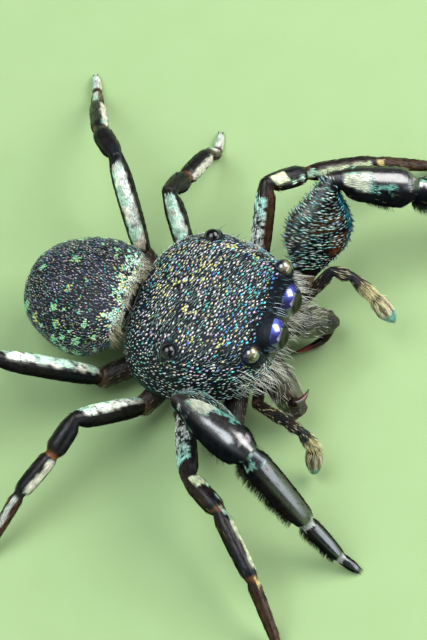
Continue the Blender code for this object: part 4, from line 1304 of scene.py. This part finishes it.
def carapace_coat(sheet, materials):
    """Coloured scales, short hairs between them and a few long bristles."""
    rng = np.random.default_rng(11)
    forward, right, up = body_places(sheet.grid[:-1])
    above_rim = (up > 0.02).astype(float)
    streaks = (streak_share(forward, right, up) > 0.4).astype(float)
    parts = []
    for spacing, limit, growth in ((0.070, above_rim, 1.0), (0.046, streaks, 0.95)):
        seeds = scatter(sheet, spacing, rng, limit)
        forward, right, up = body_places(seeds.point)
        keep = clear_of_eyes(seeds, EYES, 0.04) & ~((forward > 1.62) & (up > 0.9))
        bare = np.exp(-((forward + 0.05) / 0.36) ** 2 - ((np.abs(right) - 1.62) / 0.16) ** 2)
        bare += np.exp(-((forward - 1.25) / 0.26) ** 2 - ((np.abs(right) - 1.42) / 0.14) ** 2)
        rim = 1 - ramp(up, 0.10, 0.40)
        for loss in (0.85 * bare, 0.7 * rim * ramp(-forward, 0.0, 0.8),
                     0.35 * specks(seeds.point, 0.5, 19, 0.55, 0.75)):
            keep &= rng.random(len(seeds)) > loss
        seeds = seeds.only(keep)
        forward, right, up = body_places(seeds.point)
        head = ramp(forward, 0.6, 1.5)
        flank = 1 - ramp(up, 0.7, 1.35)
        top = 1 - flank
        rear = ramp(-forward, 0.6, 1.3)
        gold = specks(seeds.point, 0.32, 12, 0.60, 0.74) + 12 * streak_share(forward, right, up)
        tint = pick(rng, SCALE_COLOURS, 1.5 + 1.0 * rear + 0.9 * flank, 1.4 * top * (1 - 0.6 * head),
                    0.6 * top + 0.1 * flank, 0.25 + 2.2 * head * top,
                    0.35 + 0.7 * flank + 0.8 * rear + 0.4 * head, 0.12 + 1.1 * head * top,
                    0.12 + 1.6 * gold * (1 - 0.6 * flank), 0.06 + 0.2 * flank, 0.9 * top * (1 - rear))
        tint = blend(tint, (0.84, 0.95, 0.94), 0.30 * flank)
        tint = np.minimum(tint * (0.60 + 0.75 * rng.random(len(seeds)) ** 0.8)[:, None], 1.0)
        way = unit(carapace_ways(seeds) + shaken(rng, seeds, 0.40))
        lift = unit(in_surface(way, seeds.normal) + 0.14 * seeds.normal)
        size = (0.60 + 0.65 * rng.random(len(seeds))) * growth
        parts.append(leaves(seeds, lift, 0.088 * (1 + 0.45 * flank + 0.3 * rear) * size,
                            0.048 * (1 - 0.15 * flank) * size, 0.22, tint))
    coat_object("carapace_scales", parts, materials["scale"])

    seeds = scatter(sheet, 0.046, rng, above_rim)
    seeds = seeds.only(clear_of_eyes(seeds, EYES, 0.02))
    forward, _, up = body_places(seeds.point)
    flank = 1 - ramp(up, 0.7, 1.4)
    kept = rng.random(len(seeds)) > 0.20 + 0.70 * flank + 0.45 * ramp(-forward, 0.5, 1.2)
    seeds, flank, forward, up = seeds.only(kept), flank[kept], forward[kept], up[kept]
    way = in_surface(carapace_ways(seeds) + shaken(rng, seeds, 0.55), seeds.normal)
    bright = 0.15 + 1.2 * rng.random(len(seeds)) ** 1.3
    grey = blend((0.40, 0.53, 0.46), (0.48, 0.68, 0.62), ramp(-forward, 0.6, 1.2))
    grey = blend(grey * (bright * (1 - 0.88 * flank))[:, None], (0.010, 0.012, 0.013),
                 ramp(forward, 1.40, 1.60) * ramp(up, 0.9, 1.2))
    parts = [hairs(seeds, way + 0.16 * seeds.normal, -0.16 * seeds.normal, 0.10 * jittered(rng, seeds, 0.3),
                   0.018, grey, 2)]
    coat_object("carapace_hairs", parts, materials["dark_hair"])

    seeds = scatter(sheet, 0.30, rng, above_rim)
    seeds = seeds.only(clear_of_eyes(seeds, EYES, 0.05))
    way = unit(seeds.normal + 0.5 * carapace_ways(seeds) + shaken(rng, seeds, 0.5))
    parts = [hairs(seeds, way, 0.35 * FORWARD - 0.3 * way, 0.24 * jittered(rng, seeds, 0.35), 0.009,
                   (0.020, 0.018, 0.014), 4)]
    coat_object("carapace_bristles", parts, materials["dark_hair"])


def abdomen_spots(sheet, rng):
    """A function that says how much points belong to the nearest spot of merged scales."""
    spots = scatter(sheet, 0.24, rng)
    along, across, high = abdomen_places(spots.point)
    outer = ramp(np.abs(across), 0.45, 1.10)
    front = 1 - ramp(along, -0.95, -0.50)
    spots = spots.only(chance(rng, spots, 0.22 + 0.70 * outer + 0.45 * front * (np.abs(across) < 0.8)
                              - 0.6 * (high < -0.55)))
    sizes = 0.035 + 0.065 * rng.random(len(spots)) ** 1.5
    _, _, up = abdomen_axes()

    def share_at(points):
        share = np.zeros(len(points))
        for centre, size in zip(spots.point, sizes):
            reach = points - centre
            reach = reach - 0.45 * dot(reach, up)[:, None] * up
            share = np.maximum(share, 1.5 - np.linalg.norm(reach, axis=1) / size)
        return np.clip(share, 0, 1)

    return share_at


def abdomen_coat(sheet, materials):
    """Scattered scales, spots of merged ones, short hairs and the fringe of the front edge."""
    rng = np.random.default_rng(12)
    rearward, right, up = abdomen_axes()
    spot_share = abdomen_spots(sheet, rng)
    parts = []
    for spacing, clustered in ((0.048, False), (0.028, True)):
        seeds = scatter(sheet, spacing, rng)
        along, across, high = abdomen_places(seeds.point)
        wide = np.abs(across)
        flank = ramp(wide, 0.55, 1.15)
        margin = 1 - ramp(along, -1.12, -0.66)
        below = 1 - ramp(high, -0.60, -0.25)
        share = spot_share(seeds.point + shaken(rng, seeds, 0.03))
        band = (1 - ramp(along, -0.98, -0.74)) * (1 - ramp(wide, 0.70, 1.10)) * (high > 0)
        share = np.maximum(share, 0.95 * band * specks(seeds.point, 0.13, 85, 0.28, 0.45))
        odds = share
        if not clustered:
            odds = (0.62 + 0.30 * noise(seeds.point, 0.45, 82) + 0.3 * margin
                    - 0.15 * ramp(along, 0.5, 1.1) - 0.5 * below) * (1 - 0.8 * share)
        keep = chance(rng, seeds, odds)
        seeds, margin, flank = seeds.only(keep), margin[keep], flank[keep]
        count = len(seeds)
        if clustered:
            hue = noise(seeds.point, 0.30, 83)
            tint = pick(rng, SCALE_COLOURS, 0.9 * margin, 0, 0, 0.10, 0.4, 0,
                        0.3 + 1.0 * ramp(hue, 0.5, 0.65), 1.0, 0)
            tint = layered(tint, ((0.42, 0.94, 0.58), 0.7 * (1 - ramp(hue, 0.50, 0.65))),
                           ((0.90, 0.96, 0.90), 0.6 * margin * chance(rng, seeds, 0.5)))
            bright = 0.75 + 0.20 * flank + 0.40 * margin + 0.25 * rng.random(count)
            tint = np.minimum(tint * bright[:, None], 1.0)
            length, width = 0.070 * jittered(rng, seeds, 0.2), 0.046
        else:
            tint = pick(rng, SCALE_COLOURS, 1.0 + 1.2 * margin, 0.9, 0.75, 0.18 + 0.5 * margin,
                        0.35 + 0.3 * flank, 0.22, 0.14 + 0.3 * flank, 0.16 + 0.5 * flank, 0.4)
            tint = tint * (0.24 + (0.72 + 0.4 * margin) * rng.random(count) ** 1.3)[:, None]
            length, width = 0.058 * (0.7 + 0.7 * rng.random(count)), 0.034
        way = in_surface(seeds.along + shaken(rng, seeds, 0.6), seeds.normal)
        parts.append(leaves(seeds, unit(way + 0.10 * seeds.normal), length, width, 0.2, tint))
    coat_object("abdomen_scales", parts, materials["scale"])

    seeds = scatter(sheet, 0.055, rng)
    _, _, high = abdomen_places(seeds.point)
    way = in_surface(seeds.along + shaken(rng, seeds, 0.4), seeds.normal)
    grey = np.array((0.22, 0.29, 0.27)) * (0.2 + 1.2 * rng.random(len(seeds)) ** 1.5)[:, None]
    # The lower hairs are tinted yellow-green: painted green light reflected up from below.
    grey = blend(grey, (0.20, 0.20, 0.06), 0.8 * (1 - ramp(high, -0.6, -0.2)))
    parts = [hairs(seeds, way + 0.18 * seeds.normal, -0.12 * seeds.normal, 0.12 * jittered(rng, seeds, 0.3),
                   0.014, grey, 2)]
    coat_object("abdomen_hairs", parts, materials["dark_hair"])

    front = (sheet.place[:-1] < -0.90)[:, None] * np.ones(sheet.grid.shape[1])
    seeds = scatter(sheet, 0.026, rng, front)
    along, across, high = abdomen_places(seeds.point)
    kept = ((along < -1.06) & (along > -1.22) & (np.abs(across) < 1.06) & (high > -0.50)
            & chance(rng, seeds, 0.45 + 0.5 * specks(seeds.point, 0.10, 84, 0.3, 0.6)))
    seeds, across, high = seeds.only(kept), across[kept], high[kept]
    away = unit(across[:, None] * right + (high - 0.1)[:, None] * up)
    sweep = unit((high - 0.1)[:, None] * right - across[:, None] * up) * np.tanh(3 * (across + 0.2))[:, None]
    middle = 1 - ramp(np.abs(across + 0.2), 0.1, 0.6)
    way = unit(-0.75 * rearward + (0.15 + 0.25 * middle)[:, None] * away + 0.70 * sweep
               + (0.45 * middle)[:, None] * right + shaken(rng, seeds, 0.65))
    pale = rng.random(len(seeds))
    tint = layered((0.050, 0.030, 0.015), ((0.36, 0.27, 0.14), ramp(pale, 0.2, 0.5)),
                   ((0.86, 0.83, 0.66), ramp(pale, 0.55, 0.80)))
    length = (0.17 + 0.04 * ramp(np.abs(across), 0.3, 1.0)) * jittered(rng, seeds, 0.5)
    parts = [hairs(seeds, way, -0.55 * away - 0.2 * UP, length, FINE_HAIR, tint, 4)]
    coat_object("abdomen_fringe", parts, materials["pale_hair"])


def leg_coat(sheet, materials):
    """Flat hairs along a leg, pale ones on its markings."""
    rng = np.random.default_rng(100 + sum(ord(letter) for letter in sheet.name))
    number = sheet.name[3]
    seeds = scatter(sheet, 0.042, rng)
    share = stripe_share(sheet, seeds.place, seeds.dorsal, seeds.front, seeds.point)
    joint = np.abs(seeds.place - np.round(seeds.place)) < 0.012
    pale = (share > 0.5) & ~joint
    under = 1 - ramp(seeds.dorsal, -0.1, 0.5)
    dark = ~pale & ~joint & chance(rng, seeds, (0.05 if number == "1" else 0.35) + 0.6 * under)
    parts = []
    for kept, colour, length, width, lean in (
            (pale, None, 0.10, 0.026, 0.10), (dark, (0.012, 0.011, 0.010), 0.14, 0.012, 0.18)):
        some = seeds.only(kept)
        if colour is None:
            tint = marking_colour(number, some.place, some.dorsal, some.front, some.point)
        else:
            yellow = 0.30 * ramp(some.place, 2.9, 3.2) if number in "34" else 0.04
            tint = blend(colour, (0.30, 0.22, 0.09), chance(rng, some, yellow))
        way = in_surface(some.along + shaken(rng, some, 0.30), some.normal)
        length, width = length * jittered(rng, some, 0.3), width * jittered(rng, some, 0.2)
        bright = (0.58 if number == "1" else 1.0) * marking_light(some.place) * jittered(rng, some, 0.25)
        parts.append(hairs(some, way + lean * some.normal, -lean * some.normal, length, width,
                           tint * bright[:, None], 2))
    coat_object(sheet.name + "_hairs", parts, materials["leg_hair"])


def front_femur_scales(sheets, materials):
    """Narrow scales that lie across the femur of each front leg, with a bright edge and a rusty patch."""
    rng = np.random.default_rng(14)
    parts = []
    for letter, side in SIDES.items():
        sheet = sheets["leg1_" + letter]
        femur = ((sheet.place[:-1] > 0.12) & (sheet.place[:-1] < 1.0))[:, None]
        seeds = scatter(sheet, 0.060, rng, femur * np.ones(sheet.grid.shape[1]))
        rows = np.stack((seeds.place * 12.0, 1.5 * seeds.dorsal, 1.5 * seeds.front), axis=1)
        facing = femur_facing(seeds.normal, side)
        edge = ramp(facing, 0.70, 0.92)
        rust = rust_share(facing, seeds.place)
        keep = noise(rows, 1.0, 91) + 0.25 * rng.random(len(seeds)) + 0.15 * edge - 0.10 * rust > 0.30
        seeds, edge = seeds.only(keep), edge[keep]
        tint = pick(rng, SCALE_COLOURS, 1.6 * (1 - edge), 0.12, 0.08, 0.20 + 1.8 * edge, 0.9 + 0.5 * edge,
                    0.10 + 1.2 * edge, 0.06, 0.15)
        bright = 0.12 + 0.84 * rng.random(len(seeds)) ** 1.3
        tint = blend(tint, (0.46, 0.72, 0.64), 0.45) * bright[:, None]
        across = unit(np.cross(seeds.normal, seeds.along))
        way = in_surface(across + shaken(rng, seeds, 0.45), seeds.normal)
        parts.append(leaves(seeds, unit(way + 0.10 * seeds.normal), 0.16 * jittered(rng, seeds, 0.4), 0.040,
                            0.2, tint))
    coat_object("front_femur_scales", parts, materials["scale"])


# Brush under a front leg: segment, shares where it starts and ends, hairs, lengths there
BRUSHES = (
    (1, 0.42, 0.74, 420, 0.16, 0.26),
    (2, 0.04, 0.92, 2600, 0.36, 0.26),
    (3, 0.05, 0.95, 1200, 0.24, 0.15),
)


def brush_coat(sheets, materials):
    """The dense dark brush that hangs below each front leg."""
    rng = np.random.default_rng(15)
    for letter, side in SIDES.items():
        name = "leg1_" + letter
        joints = leg_joints(name, side)
        x, y, w, h = sheets[name].patch
        parts = []
        for segment, first, last, count, length_first, length_last in BRUSHES:
            start, end = joints[segment], joints[segment + 1]
            axis = unit(end - start)
            below = unit(-ABOVE + dot(ABOVE, axis) * axis)
            beyond = np.cross(below, axis)
            share = first + (last - first) * (np.arange(count) + rng.random(count)) / count
            depth = smooth_value(FRONT_LEG[SEGMENTS[segment]], 1, share)
            turn = np.clip(rng.normal(0.0, 0.55, count), -1.1, 1.1)
            away = np.cos(turn)[:, None] * below + np.sin(turn)[:, None] * beyond
            root = start + share[:, None] * (end - start) + 0.44 * depth[:, None] * away
            along = (share - first) / (last - first)
            length = (length_first + along * (length_last - length_first)) * jittered(rng, share, 0.30)
            length = length * (1 - 0.35 * np.abs(turn))
            way = unit(away + 0.30 * axis + shaken(rng, share, 0.25))
            tint = blend((0.010, 0.014, 0.011), (0.040, 0.060, 0.026), ramp(rng.random(count), 0.55, 1.0))
            uv = np.stack((x + w * (segment + share) / len(SEGMENTS), y + h * (0.5 + turn / (2 * math.pi))),
                          axis=1)
            seeds = SimpleNamespace(point=root, uv=uv)
            parts.append(hairs(seeds, way, 0.55 * axis - 0.1 * away, length,
                               0.014 * jittered(rng, share, 0.2), tint, 4))
        coat_object(f"{name}_brush", parts, materials["brush_hair"])


FACE_ROWS = 26                   # rows of the carapace that make up its face


def face_coat(sheets, materials):
    """Long pale hairs on the cheeks, below and between the front eyes, and dark bristles over these."""
    rng = np.random.default_rng(16)
    sheet = sheets["carapace"]
    face_forward, face_right, face_up = body_places(sheet.grid[:-1])
    cheek = ramp(face_forward, 1.05, 1.50) * (1 - ramp(face_up, 0.80, 1.15)) * (face_up > -0.12)
    seeds = scatter(sheet, 0.082, rng, cheek * (face_forward < 1.78))
    seeds = seeds.only(clear_of_eyes(seeds, ("am", "al"), 0.03))
    forward, right, _ = body_places(seeds.point)
    ahead = ramp(forward, 1.0, 1.6)
    outward = np.sign(right)[:, None] * RIGHT
    way = unit(1.0 * FORWARD + (0.10 - 0.30 * ahead)[:, None] * UP - 0.10 * outward + 0.42 * seeds.normal
               + shaken(rng, seeds, 0.65))
    tint = blend((0.46, 0.72, 0.66), (0.94, 0.93, 0.82), ahead)
    tint = tint * (0.45 + 0.60 * rng.random(len(seeds)) ** 0.5)[:, None]
    length = (0.12 + 0.23 * ahead) * jittered(rng, seeds, 0.45)
    parts = [hairs(seeds, way, -0.25 * UP, length, FINE_HAIR, tint, 4)]

    rows = len(sheet.grid) - 1
    front = (np.arange(rows) >= rows - FACE_ROWS)[:, None]
    seeds = scatter(sheet, 0.070, rng, front * (face_up < 1.0) * (face_forward > 1.5))
    seeds = seeds.only(clear_of_eyes(seeds, ("am", "al"), 0.02) & chance(rng, seeds, 0.75))
    spread = shaken(rng, seeds, 0.90)
    _, right, _ = body_places(seeds.point)
    way = unit(FORWARD + (0.35 * right)[:, None] * RIGHT - 0.30 * UP + spread)
    tint = blend((0.62, 0.62, 0.50), (0.80, 0.82, 0.74), rng.random(len(seeds)))
    parts.append(hairs(seeds, way, -0.35 * UP, 0.46 * jittered(rng, seeds, 0.4), FINE_HAIR, tint, 4))

    between = (face_forward > 1.78) * (np.abs(face_right) < 0.12) * (face_up > 1.0)
    seeds = scatter(sheet, 0.070, rng, between.astype(float))
    _, right, _ = body_places(seeds.point)
    way = unit(FORWARD + 0.45 * seeds.normal + (0.8 * right)[:, None] * RIGHT + shaken(rng, seeds, 0.5))
    tint = np.array((0.66, 0.76, 0.84)) * jittered(rng, seeds, 0.2)[:, None]
    parts.append(hairs(seeds, way, -0.8 * UP, 0.24 * jittered(rng, seeds, 0.35), FINE_HAIR, tint, 4))
    coat_object("face_hairs", parts, materials["pale_hair"])

    brow = (face_forward > 1.40) * (face_up > 1.30) * (np.abs(face_right) < 1.0)
    seeds = scatter(sheet, 0.032, rng, brow.astype(float))
    seeds = seeds.only(clear_of_eyes(seeds, ("am", "al"), 0.03))
    way = in_surface(FORWARD + shaken(rng, seeds, 0.25), seeds.normal)
    tint = np.array((0.010, 0.012, 0.014)) * jittered(rng, seeds, 0.7)[:, None]
    tint = blend(tint, (0.10, 0.20, 0.22), chance(rng, seeds, 0.10))
    parts = [hairs(seeds, way + 0.30 * seeds.normal, -0.45 * seeds.normal + 0.2 * FORWARD,
                   0.12 * jittered(rng, seeds, 0.35), 0.015, tint, 3)]
    coat_object("brow_bristles", parts, materials["dark_hair"])


def jaw_coat(sheets, materials):
    """Pale hairs in tufts, longest at the root of each jaw and sparse on its underside, where the jaw is
    painted in shade.
    """
    rng = np.random.default_rng(17)
    parts = []
    for letter, side in SIDES.items():
        seeds = scatter(sheets["jaw_" + letter], 0.044, rng)
        top = dot(seeds.normal, unit(UP + 0.5 * side * RIGHT))
        outer = ramp(dot(seeds.normal, side * RIGHT), -0.3, 0.4)
        odds = ((0.07 + 0.32 * specks(seeds.point, 0.16, 67, 0.30, 0.60) + 0.35 * outer)
                * (1.0 - 0.75 * jaw_underside_painted_shade(seeds.normal, side)) * (1.0 - 0.55 * ramp(seeds.place, 0.4, 0.95)))
        seeds = seeds.only((seeds.place > 0.08) & (seeds.place < 0.96) & (top > -0.6)
                           & chance(rng, seeds, odds))
        root_share = 1 - ramp(seeds.place, 0.35, 0.85)
        way = unit(seeds.along + 0.40 * seeds.normal + shaken(rng, seeds, 1.0))
        pale = rng.random(len(seeds)) ** (1.6 - 0.6 * root_share)
        tint = blend((0.040, 0.038, 0.020), (0.98, 0.96, 0.84), pale)
        length = (0.12 + 0.14 * root_share) * jittered(rng, seeds, 0.45)
        parts.append(hairs(seeds, way, -0.35 * seeds.normal, length, 0.010, tint, 4))
    coat_object("jaw_hairs", parts, materials["pale_hair"])


def palp_coat(sheets, materials):
    rng = np.random.default_rng(18)
    parts = []
    for letter in SIDES:
        seeds = scatter(sheets["palp_" + letter], 0.034, rng)
        seeds = seeds.only(np.abs(seeds.place - np.round(seeds.place)) > 0.01)
        end = ramp(seeds.place, 2.3, 2.8)
        bulb = ramp(seeds.place, 3.0, 3.15)
        pale = chance(rng, seeds, 0.18 + 0.75 * end)
        stripes = palp_stripes(seeds.dorsal, seeds.front, seeds.place)
        tint = layered(np.where(pale[:, None], (0.74, 0.66, 0.34), (0.030, 0.028, 0.022)),
                       ((0.80, 0.76, 0.56), pale * ramp(seeds.place, 3.0, 3.3)),
                       ((0.09, 0.04, 0.02), 0.85 * stripes * ramp(seeds.place, 3.05, 3.2)),
                       ((0.12, 0.48, 0.40),
                        0.8 * ramp(seeds.place, 3.55, 3.75) * ramp(seeds.dorsal, -0.2, 0.3)))
        way = unit(seeds.along + (0.22 + 0.25 * end * (1 - bulb) - 0.10 * bulb)[:, None] * seeds.normal
                   + shaken(rng, seeds, 0.25))
        length = (0.12 + 0.07 * end - 0.09 * bulb) * jittered(rng, seeds, 0.35)
        parts.append(hairs(seeds, way, -0.15 * seeds.normal, length, 0.013,
                           tint * jittered(rng, seeds, 0.3)[:, None], 3))
    coat_object("palp_hairs", parts, materials["pale_hair"])


def underside_coat(sheets, materials):
    """Short hairs on the sternum, the mouthparts and the first joint of each leg."""
    rng = np.random.default_rng(19)
    parts = []
    for name, sheet in sheets.items():
        if name.startswith(("coxa", "sternum", "mouthparts")):
            seeds = scatter(sheet, 0.048, rng)
            way = unit(seeds.along + 0.22 * seeds.normal + shaken(rng, seeds, 0.4))
            tint = blend((0.030, 0.024, 0.018), (0.42, 0.38, 0.24), chance(rng, seeds, 0.22))
            length = 0.11 * jittered(rng, seeds, 0.35)
            parts.append(hairs(seeds, way, -0.2 * seeds.normal, length, FINE_HAIR,
                               tint * jittered(rng, seeds, 0.3)[:, None], 3))
    coat_object("underside_hairs", parts, materials["dark_hair"])


# Eyes, fangs, claws and skin


def ball_grid(centre, radius, rows, sides, pole, hint):
    """A sphere as rings round the pole, from the rear to the front."""
    across, upward = frame_across(pole, hint)
    angles = np.linspace(0.0, np.pi, rows)[:, None]
    turns = 2 * np.pi * np.arange(sides)[None, :] / sides
    ring = ((np.sin(angles) * np.cos(turns))[..., None] * across
            + (np.sin(angles) * np.sin(turns))[..., None] * upward)
    return centre + radius * (ring - np.cos(angles)[..., None] * pole)


def eye_tint(kind, way):
    """Colour of a lens by direction from its centre, with painted light in the front and side eyes."""
    ahead, above = dot(way, FORWARD), dot(way, UP)
    if kind == "am":
        # Front eyes: the blue-violet lens, its black band and its olive rim are the eye's own colours. The
        # lighter violet towards the top is a painted glow round the highlight. The darker navy towards the
        # bottom and towards RIGHT is painted shade. The cyan at the upper rear is a painted reflection, and
        # the thin pale line on the rim is a painted highlight.
        return layered((0.004, 0.005, 0.024), ((0.030, 0.030, 0.22), ramp(above, 0.42, 0.70)),
                       ((0.13, 0.15, 0.60), ramp(above, 0.68, 0.94)),
                       ((0.010, 0.010, 0.060), 0.85 * ramp(dot(way, RIGHT), 0.12, 0.46)),
                       ((0.070, 0.28, 0.62), 0.7 * ramp(above, 0.70, 0.90) * (1 - ramp(ahead, 0.10, 0.36))),
                       ((0.003, 0.003, 0.006), ramp(ahead, 0.62, 0.74)),
                       ((0.030, 0.032, 0.014), ramp(ahead, 0.76, 0.84)),
                       ((0.14, 0.14, 0.09), pulse(ahead, 0.858, 0.862, 0.010)),
                       ((0.012, 0.013, 0.007), ramp(ahead, 0.88, 0.97)))
    if kind == "al":
        # Side eyes: golden olive lens, dark blue at its rear. The paler gold towards the top front is a
        # painted highlight.
        return layered((0.060, 0.052, 0.014), ((0.26, 0.23, 0.11), ramp(above + 0.3 * ahead, 0.75, 1.05)),
                       ((0.003, 0.005, 0.022), ramp(0.30 - ahead, -0.10, 0.35)))
    return np.broadcast_to((0.002, 0.002, 0.003), way.shape)


def build_eyes(materials):
    """Eight lenses."""
    rows, sides = 50, 64
    for kind, (forward, right, up, radius, _, _) in EYES.items():
        for letter, side in SIDES.items():
            centre = on_body(forward, side * right, up)
            grid = ball_grid(centre, radius, rows, sides, FORWARD, UP)
            way = unit(grid - centre)
            gloss = 1.0 - 0.97 * ramp(dot(way, FORWARD), 0.62, 0.80) * (kind == "am")
            material = materials["small_lens" if kind in ("pm", "pl") else "lens"]
            made = mesh_object(f"lens_{kind}_{letter}", grid.reshape(-1, 3), tube_faces(rows, sides)[:, ::-1],
                               eye_tint(kind, way).reshape(-1, 3), None, material, gloss.ravel())
            weld(made)
            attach(made, "root")
            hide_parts(f"eye_{kind}_{letter}")


def weld(thing):
    """Joins the points that lie on one another at a sphere's poles."""
    shape = bmesh.new()
    shape.from_mesh(thing.data)
    bmesh.ops.remove_doubles(shape, verts=shape.verts, dist=1e-8)
    shape.to_mesh(thing.data)
    shape.free()
    thing.data.shade_smooth()


def build_claws(material):
    parts = []
    for name, side in LEGS.items():
        for sheet in claw_sheets(name, side):
            points, faces, _, _ = capped(sheet)
            parts.append((above_floor(points, 0.002), faces))
    points, faces = merged(parts)
    tint = np.broadcast_to((0.020, 0.014, 0.010), points.shape)
    made = mesh_object("claws", points, faces, tint, None, material, np.ones(len(points)))
    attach(made, "root")


def build_fangs(material):
    for letter, side in SIDES.items():
        parts = []
        for sheet, shine, red in zip(fang_sheets(letter, side), (1.0, 0.15), (1.0, 0.0)):
            points, faces, _, _ = capped(sheet)
            share = np.append(np.repeat(sheet.place, sheet.grid.shape[1]), (0.0, 1.0))
            tint = blend((0.016, 0.006, 0.004), (0.12, 0.016, 0.010), red * pulse(share, 0.50, 0.72, 0.2))
            parts.append((points, faces, tint, np.full(len(points), shine)))
        points, faces, tint, gloss = merged(parts)
        made = mesh_object("fang_shape_" + letter, points, faces, tint, None, material, gloss)
        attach(made, "root")
        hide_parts("fang_" + letter)


def build_skin(sheets, materials):
    table = [(start, materials[name]) for start, name in (
        ("carapace", "carapace"), ("abdomen", "abdomen"), ("leg1", "front_leg"), ("leg", "leg"),
        ("palp", "leg"), ("jaw", "jaw"), ("", "underside"))]
    skin = join_sheets("skin", sheets, table)
    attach(skin, "root")
    flesh = [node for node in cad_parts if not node.startswith(("eye", "fang"))]
    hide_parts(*flesh)


# Stage

FLOOR_REACH = 120.0
WORLD_COLOUR = (0.86, 0.93, 0.90, 1.0)
WORLD_STRENGTH = 0.10
# Lights: direction from the spider, distance, size, power and colour
LIGHTS_AIM = np.array((0.0, 0.5, 1.0))
LIGHTS = {
    "key": ((0.48, -0.48, 0.76), 75, (62, 46), 0.062, (1.0, 0.99, 0.98)),
    "top": ((-0.12, 0.30, 0.94), 80, (60, 50), 0.058, (0.88, 0.95, 1.0)),
    "fill": ((-0.90, 0.50, 0.65), 90, (130, 110), 0.026, (0.92, 1.0, 0.95)),
    "front": ((0.12, -0.98, 0.13), 75, (110, 50), 0.060, (0.84, 0.92, 1.0)),
}


def build_stage():
    """A wide sheet of paper under the feet."""
    corners = FLOOR_REACH * np.array(((-1, -1, 0), (1, -1, 0), (1, 1, 0), (-1, 1, 0)), float)
    floor = mesh_object("floor", corners - SHIFT * (1, 1, 0), np.array(((0, 1, 2, 3),)))
    made, tree, shader = new_material("floor_paper")
    grain = noise_output(tree, 900.0)
    colours = add(tree, "ShaderNodeValToRGB")
    colours.color_ramp.elements[0].color = (0.300, 0.435, 0.190, 1.0)
    colours.color_ramp.elements[1].color = (0.330, 0.468, 0.218, 1.0)
    tree.links.new(grain, colours.inputs["Fac"])
    tree.links.new(colours.outputs["Color"], shader.inputs["Base Color"])
    shader.inputs["Roughness"].default_value = 0.85
    floor.data.materials.append(made)


def area_light(name, place, aim, size, power, colour):
    """A rectangular lamp at the place, turned towards the aim."""
    lamp = bpy.data.lights.new(name, "AREA")
    lamp.shape = "RECTANGLE"
    lamp.size, lamp.size_y = size[0] * MM, size[1] * MM
    lamp.energy = power
    lamp.color = colour
    made = bpy.data.objects.new(name, lamp)
    made.location = packed(place)
    made.rotation_euler = Vector(np.asarray(aim) - np.asarray(place)).to_track_quat("-Z", "Y").to_euler()
    bpy.context.scene.collection.objects.link(made)


def build_lights():
    world = bpy.data.worlds.new("studio")
    world.use_nodes = True
    back = world.node_tree.nodes["Background"]
    back.inputs["Color"].default_value = WORLD_COLOUR
    back.inputs["Strength"].default_value = WORLD_STRENGTH
    bpy.context.scene.world = world
    for name, (way, distance, size, power, colour) in LIGHTS.items():
        area_light(name, LIGHTS_AIM + distance * unit(way), LIGHTS_AIM, size, power, colour)


def build_camera():
    lens = bpy.data.cameras.new("camera")
    lens.lens = CAMERA_LENS
    lens.sensor_fit = "AUTO"
    lens.sensor_width = 36.0
    lens.clip_start, lens.clip_end = 0.001, 10.0
    made = bpy.data.objects.new("camera", lens)
    turn = Matrix((CAMERA_RIGHT, CAMERA_UP, CAMERA_BACK)).transposed().to_4x4()
    place = packed(CAMERA_AIM + CAMERA_DISTANCE * CAMERA_BACK)
    made.matrix_world = Matrix.Translation(Vector(place)) @ turn
    bpy.context.scene.collection.objects.link(made)
    bpy.context.scene.camera = made


def main():
    build_camera()
    build_lights()
    build_stage()
    materials = all_materials()
    sheets = all_sheets()
    build_skin(sheets.values(), materials)
    build_eyes(materials)
    build_fangs(materials["fang"])
    build_claws(materials["fang"])
    carapace_coat(sheets["carapace"], materials)
    abdomen_coat(sheets["abdomen"], materials)
    for dress in (face_coat, jaw_coat, palp_coat, underside_coat):
        dress(sheets, materials)
    for name in LEGS:
        leg_coat(sheets[name], materials)
    front_femur_scales(sheets, materials)
    brush_coat(sheets, materials)


bpy.context.scene.view_settings.view_transform = "Standard"
main()
